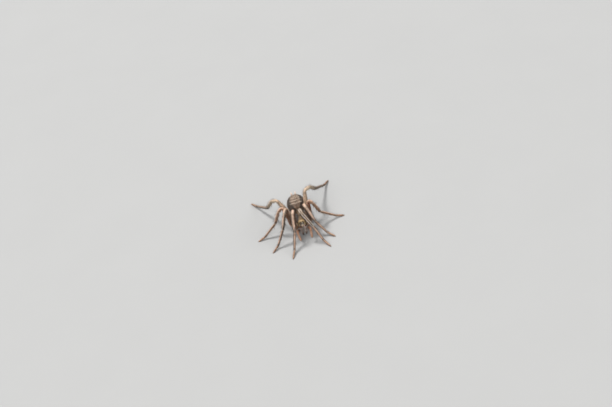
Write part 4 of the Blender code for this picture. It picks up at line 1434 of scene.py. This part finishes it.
class SPIDER_OT_stage(bpy.types.Operator):
    """Set up the floor, the lights and the camera at the photograph's angle"""

    bl_idname = "spider.stage"
    bl_label = "Stage"
    bl_options = {"REGISTER", "UNDO"}

    photo_size = (612, 407)
    head_top_pixel = (301.4, 221.7)
    pixels_per_mm = 4.4
    elevation = 40.0
    roll = 17.0
    sensor = 36.0

    def execute(self, context):
        """Make the stage."""
        self.add_floor()
        self.add_lights(context)
        self.add_camera(context)
        return {"FINISHED"}

    def add_floor(self):
        """A wide pale floor with a faint unevenness."""
        mesh = bpy.data.meshes.new("studio_floor")
        corners = 96
        radius = 2.5
        turns = [2 * math.pi * corner / corners for corner in range(corners)]
        mesh.from_pydata(
            [(radius * math.cos(turn), radius * math.sin(turn), 0.0) for turn in turns],
            [], [list(range(corners))],
        )
        made, tree, shader = new_material("floor_paint")
        colour = linear(settings()[2].floor)
        darker = linear(scaled(settings()[2].floor, 0.96))
        cloud = noise(tree, 60.0, 3.0)
        put(tree, shader, {"Base Color": mix_colour(tree, cloud, darker, colour), "Roughness": 0.8})
        mesh.materials.append(made)
        floor = add_object("studio_floor", mesh)

    def add_lights(self, context):
        """A soft key light from above and behind, weaker ones in front and beside, and a pale sky."""
        # name, azimuth (0 in front, 90 to the spider's left), elevation, how soft, share
        lamps = (
            ("key_light", 205, 58, 14, 1.0),
            ("fill_light", -30, 42, 44, 0.51),
            ("side_light", 80, 35, 31, 0.28),
        )
        for name, azimuth, elevation, softness, share in lamps:
            lamp = bpy.data.lights.new(name, "SUN")
            lamp.angle = math.radians(softness)
            lamp.energy = share * settings()[2].key
            made = add_object(name, lamp)
            aim = Vector(heading(azimuth, elevation))
            made.location = aim * LAMP_DISTANCE
            made.rotation_euler = aim.to_track_quat("Z", "Y").to_euler()
        world = bpy.data.worlds.new("studio")
        world.use_nodes = True
        backdrop = world.node_tree.nodes["Background"]
        backdrop.inputs["Color"].default_value = (0.90, 0.92, 0.95, 1.0)
        backdrop.inputs["Strength"].default_value = 0.55
        context.scene.world = world
        context.scene.view_settings.view_transform = "Standard"

    def add_camera(self, context):
        """Put the top of the head at its own pixel, at the photograph's scale and tilt."""
        low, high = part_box("carapace")
        head_top = Vector(((low.x + high.x) / 2, low.y + 0.4 * MM, high.z))
        lens = settings()[2].lens
        focal = lens / self.sensor * self.photo_size[0]
        distance = focal / self.pixels_per_mm * MM
        rise, roll = math.radians(self.elevation), math.radians(self.roll)
        view = Vector((0.0, math.cos(rise), -math.sin(rise)))
        level, upright = Vector((1.0, 0.0, 0.0)), Vector((0.0, math.sin(rise), math.cos(rise)))
        right = level * math.cos(roll) - upright * math.sin(roll)
        up = level * math.sin(roll) + upright * math.cos(roll)
        off_x = (self.head_top_pixel[0] - self.photo_size[0] / 2) / focal
        off_y = (self.head_top_pixel[1] - self.photo_size[1] / 2) / focal
        camera = bpy.data.cameras.new("photo_camera")
        camera.lens = lens
        camera.sensor_width = self.sensor
        camera.clip_start, camera.clip_end = 0.005, 10.0
        made = add_object("photo_camera", camera)
        made.matrix_world = Matrix.Translation(
            head_top - distance * (view + off_x * right - off_y * up)
        ) @ Matrix((right, up, -view)).transposed().to_4x4()
        context.scene.camera = made


class SPIDER_OT_skin(bpy.types.Operator):
    """Join body, legs, palps and spinnerets under one skin"""

    bl_idname = "spider.skin"
    bl_label = "Skin"
    bl_options = {"REGISTER", "UNDO"}

    def execute(self, context):
        """Make the skin in place of the flesh's solids."""
        mesh = joined_skin(sheets().values())
        for region in REGIONS:
            mesh.materials.append(cuticle(region))
        separate = ("chelicera", "fang", "eye")
        flesh = [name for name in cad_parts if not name.startswith(separate)]
        place_piece("spider_skin", mesh, "leg_brown", flesh)
        shape = [vertex.co.copy() for vertex in mesh.vertices]
        faces = [tuple(face.vertices) for face in mesh.polygons]
        Model.skin = BVHTree.FromPolygons(shape, faces)
        return {"FINISHED"}


class SPIDER_OT_eyes(bpy.types.Operator):
    """Set the eight eyes in the head"""

    bl_idname = "spider.eyes"
    bl_label = "Eyes"
    bl_options = {"REGISTER", "UNDO"}

    def execute(self, context):
        """Make each eye as a glossy lens with a faint brown middle."""
        finish, tree, shader = new_material("eye_lens")
        middle = attribute_value(tree, "middle")
        deep, rim = (0.028, 0.014, 0.008, 1.0), (0.004, 0.0035, 0.0035, 1.0)
        mottled = math_node(tree, "MULTIPLY", middle, noise(tree, 9000.0, 2.0))
        put(tree, shader, {
            "Base Color": mix_colour(tree, mottled, rim, deep), "Roughness": 0.06,
            "Coat Weight": 1.0, "Coat Roughness": 0.03, "Specular IOR Level": 0.6,
        })
        across, upward, back = ball_rings(25, 32, 0.05)
        ball = np.stack((upward, across, back), axis=-1)
        for name, side_name, centre, radius in eye_places():
            lens = Chart(f"eye_lens_{name}_{side_name}", "carapace", centre + ball * radius, {})
            middle = smooth_step(ball @ unit(centre - HEAD_MIDDLE), 0.6, 0.95)
            place_shell(lens, finish, "eye_black", f"eye_{name}_{side_name}", middle=middle)
        return {"FINISHED"}


class SPIDER_OT_jaws(bpy.types.Operator):
    """Hang the two jaws with their fangs under the head"""

    bl_idname = "spider.jaws"
    bl_label = "Jaws"
    bl_options = {"REGISTER", "UNDO"}

    def execute(self, context):
        """Make each jaw and fang."""
        colour = settings()[0].jaw
        jaw_finish = horn_finish("jaw_horn", colour, scaled(colour, 0.55), 0.26, 0.5)
        fang_finish = horn_finish("fang_horn", (0.05, 0.014, 0.008), (0.012, 0.005, 0.004), 0.14, 0.8)
        for side in SIDE_NAMES:
            self.add_jaw(side, jaw_finish)
            self.add_fang(side, fang_finish)
        return {"FINISHED"}

    def add_jaw(self, side, finish):
        """A jaw that bulges below the face and narrows to its fang."""
        node = f"chelicera_{SIDE_NAMES[side]}"
        route = Route(mirrored(CHELICERA_CORNERS, side), (CHELICERA_BEND,))
        distances = ring_distances(0.0, route.length, route.marks, 0.04, 0.04)
        share = (distances / route.length)[:, None]
        girth = route.girth(CHELICERA_GIRTH, distances) - COAT_DEPTH["jaw"]
        girth = girth * rounded_end(distances, route.length, 0.10).clip(0.5)
        girth = girth * rounded_end(-distances, 0.0, 0.30).clip(0.2)
        angles = ring_angles(32)
        knee = 0.03 * peak(share, 0.22, 0.12) * (0.5 + 0.5 * np.cos(angles))
        ridge = 0.008 * np.cos(3 * angles) * np.sin(math.pi * share)
        radii = girth[:, None] + knee + ridge
        points = limb_points(route, distances, radii, np.array((1.0, 0.0, 0.0)), 32)
        inner = peak(np.cos(angles - side * 0.5 * math.pi), -1.0, 0.8)
        tip = smooth_step(share, 0.72, 0.9)
        bare = 1 - 0.85 * smooth_step(share, 0.02, 0.22)
        marks = {"red": 0.9 * inner * tip, "dark": 0.35, "frost": 0.5 * (1 - tip), "soft": bare}
        chart = Chart(f"{node}_shell", "leg", points, marks)
        reach = np.broadcast_to(share, points.shape[:2])
        place_shell(chart, finish, "jaw_red_brown", node, reach=reach)
        Model.jaws.append(chart)

    def add_fang(self, side, finish):
        """A smooth curved fang that folds in under its jaw."""
        node = f"fang_{SIDE_NAMES[side]}"
        route = Route(mirrored(FANG_CORNERS, side), (CHELICERA_BEND / 3,))
        distances = ring_distances(-0.16, route.length, route.marks, 0.03, 0.03)
        share = (distances.clip(0.0) / route.length)[:, None]
        girth = route.girth(FANG_GIRTH, distances.clip(0.0))[:, None] * (1.12 - 0.85 * share**2.5)
        points = limb_points(route, distances, girth, np.array((0.0, 1.0, 0.0)), 20)
        chart = Chart(f"{node}_shell", "leg", points, {})
        reach = np.broadcast_to(share, points.shape[:2])
        place_shell(chart, finish, "fang_black", node, reach=reach)


class SPIDER_OT_coat(bpy.types.Operator):
    """Cover body and limbs with lying hair"""

    bl_idname = "spider.coat"
    bl_label = "Coat"
    bl_options = {"REGISTER", "UNDO"}

    def execute(self, context):
        """Make the coats of legs, abdomen, carapace, underside and tail."""
        coat = settings()[1]
        charts = sheets()
        looks = {region: (hair_finish(region), REGIONS[region][2]) for region in REGIONS}
        cover = functools.partial(scatter, np.random.default_rng(COAT_SEED), kind=LYING_HAIR)
        for side_name in SIDE_NAMES.values():
            cover(
                f"leg_coat_{side_name}", legs_of(side_name), looks["leg"], coat.leg_hairs,
                (coat.leg_hair / MM, 0.024, 0.26), shortens=0.45, part=self.towards_foot,
            )
            palp = [charts[f"palp_{side_name}"], charts[f"mouth_lobe_{side_name}"]]
            cover(f"palp_coat_{side_name}", palp, looks["leg"], *COATS["palp"], shortens=0.45)
        for name, above, count in (("upper", 1, coat.body_hairs), ("lower", -1, LOWER_HAIRS)):
            cover(
                f"abdomen_coat_{name}", [charts["abdomen"]], looks["abdomen"], count,
                (coat.body_hair / MM, 0.027, 0.36),
                part=lambda chart, above=above: chart.normals[..., 2] * above > (-0.25 * above),
            )
        cover(
            "carapace_coat", [charts["carapace"]], looks["carapace"], *COATS["carapace"],
            part=lambda chart: chart.normals[..., 2] > -0.3,
        )
        cover("sternum_coat", [charts["sternum"]], looks["sternum"], *COATS["sternum"])
        jaw_look = (looks["carapace"][0], "jaw_red_brown")
        cover("jaw_coat", Model.jaws, jaw_look, *COATS["jaw"], on_skin=False)
        tail = [chart for chart in charts.values() if chart.region == "spinneret"]
        cover("spinneret_coat", tail, looks["spinneret"], *COATS["spinneret"])
        return {"FINISHED"}

    def towards_foot(self, chart):
        """The shorter hair of metatarsus and tarsus stands closer."""
        along = np.linspace(0.0, 1.0, len(chart.points))[:, None]
        return 1.0 + 0.9 * smooth_step(along, 0.55, 0.85)


class SPIDER_OT_spines(bpy.types.Operator):
    """Arm the legs with spines and long bristles, and the feet with claws"""

    bl_idname = "spider.spines"
    bl_label = "Spines, bristles and claws"
    bl_options = {"REGISTER", "UNDO"}

    def execute(self, context):
        """Make spines, bristles and claws."""
        colours, coat, _ = settings()
        dice = np.random.default_rng(SPINE_SEED)
        root = colours.spine
        spine_horn = horn_finish("spine_horn", root, scaled(root, 2.2), 0.32)
        bristle_horn = horn_finish("bristle_horn", scaled(root, 2.0), scaled(root, 4.5), 0.4)
        claw_horn = horn_finish("claw_horn", (0.05, 0.02, 0.01), (0.02, 0.008, 0.005), 0.22, 0.4)
        slot = "fang_black"
        for side_name in SIDE_NAMES.values():
            legs = legs_of(side_name)
            spines = [self.spines(chart, coat.spine / MM, dice) for chart in legs]
            hair_object(f"leg_spines_{side_name}", spines, spine_horn, slot, dice)
            limbs = [*legs, sheets()[f"palp_{side_name}"]]
            size = (coat.bristle / MM, 0.020, 1.0)
            name = f"leg_bristles_{side_name}"
            look = (bristle_horn, slot)
            scatter(dice, name, limbs, look, LEG_BRISTLES, size, BRISTLE, shortens=0.65)
            claws = [self.claws(chart) for chart in legs]
            hair_object(f"claws_{side_name}", claws, claw_horn, slot, dice)
        body = [sheets()["abdomen"], sheets()["carapace"]]
        scatter(dice, "body_bristles", body, look, BODY_BRISTLES, (0.5, 0.020, 1.0), BRISTLE)
        return {"FINISHED"}

    def spines(self, chart, longest, dice):
        """The strong spines of one leg, set at the same places on each."""
        marks = chart.route.marks
        spots, sizes = [], []
        for segment, share, angle, size in SPINE_PLACES:
            place = marks[segment] + (marks[segment + 1] - marks[segment]) * share
            spots.append((place + dice.normal(0, 0.06), angle + dice.normal(0, 6)))
            sizes.append(size * longest * dice.uniform(0.88, 1.1))
        roots, count = roots_at(chart, spots), len(spots)
        shapes = hair_shapes(
            roots, np.array(sizes), np.full(count, 0.068), dice.uniform(0.6, 0.85, count), 0.8,
            dice.normal(0.0, 0.12, count), 6, 5,
        )
        return roots, shapes, 6, 5

    def claws(self, chart):
        """Two long claws and a short one on a foot."""
        end = chart.distances[-3]
        roots = roots_at(chart, [(end, 35), (end, -35), (end, 180)])
        roots.normal = unit(chart.normals[-6, 0] * 0.6 + roots.normal * 0.4)
        lengths, lifts, sways = np.array(((0.26, 0.26, 0.13), (0.5, 0.5, 0.1), (0.12, -0.12, 0.0)))
        return roots, hair_shapes(roots, lengths, np.full(3, 0.05), lifts, -1.6, sways, 6, 6), 6, 6


class SPIDER_PT_panel(bpy.types.Panel):
    """The spider's settings and operators in the 3D view's sidebar"""

    bl_label = "Labyrinth Spider"
    bl_idname = "SPIDER_PT_panel"
    bl_space_type = "VIEW_3D"
    bl_region_type = "UI"
    bl_category = "Spider"

    def draw(self, context):
        """List the settings and the operators."""
        layout = self.layout
        for group in settings():
            box = layout.box()
            for name in group.bl_rna.properties.keys():
                if name not in ("rna_type", "name"):
                    box.prop(group, name)
        for step in STEPS:
            layout.operator(step.bl_idname)


STEPS = (
    SPIDER_OT_stage, SPIDER_OT_skin, SPIDER_OT_eyes, SPIDER_OT_jaws, SPIDER_OT_coat, SPIDER_OT_spines
)
GROUPS = {"spider_colours": SpiderColours, "spider_coat": SpiderCoat, "spider_stage": SpiderStage}


def register():
    """Register the classes and the scene's settings."""
    for made in (*GROUPS.values(), *STEPS, SPIDER_PT_panel):
        bpy.utils.register_class(made)
    for name, group in GROUPS.items():
        setattr(bpy.types.Scene, name, PointerProperty(type=group))


def unregister():
    """Remove the classes and the scene's settings."""
    for name in GROUPS:
        delattr(bpy.types.Scene, name)
    for made in reversed((*GROUPS.values(), *STEPS, SPIDER_PT_panel)):
        bpy.utils.unregister_class(made)


def main():
    """Dress the spider, step by step."""
    register()
    bpy.ops.spider.stage()
    bpy.ops.spider.skin()
    bpy.ops.spider.eyes()
    bpy.ops.spider.jaws()
    bpy.ops.spider.coat()
    bpy.ops.spider.spines()


if __name__ == "__main__":
    main()
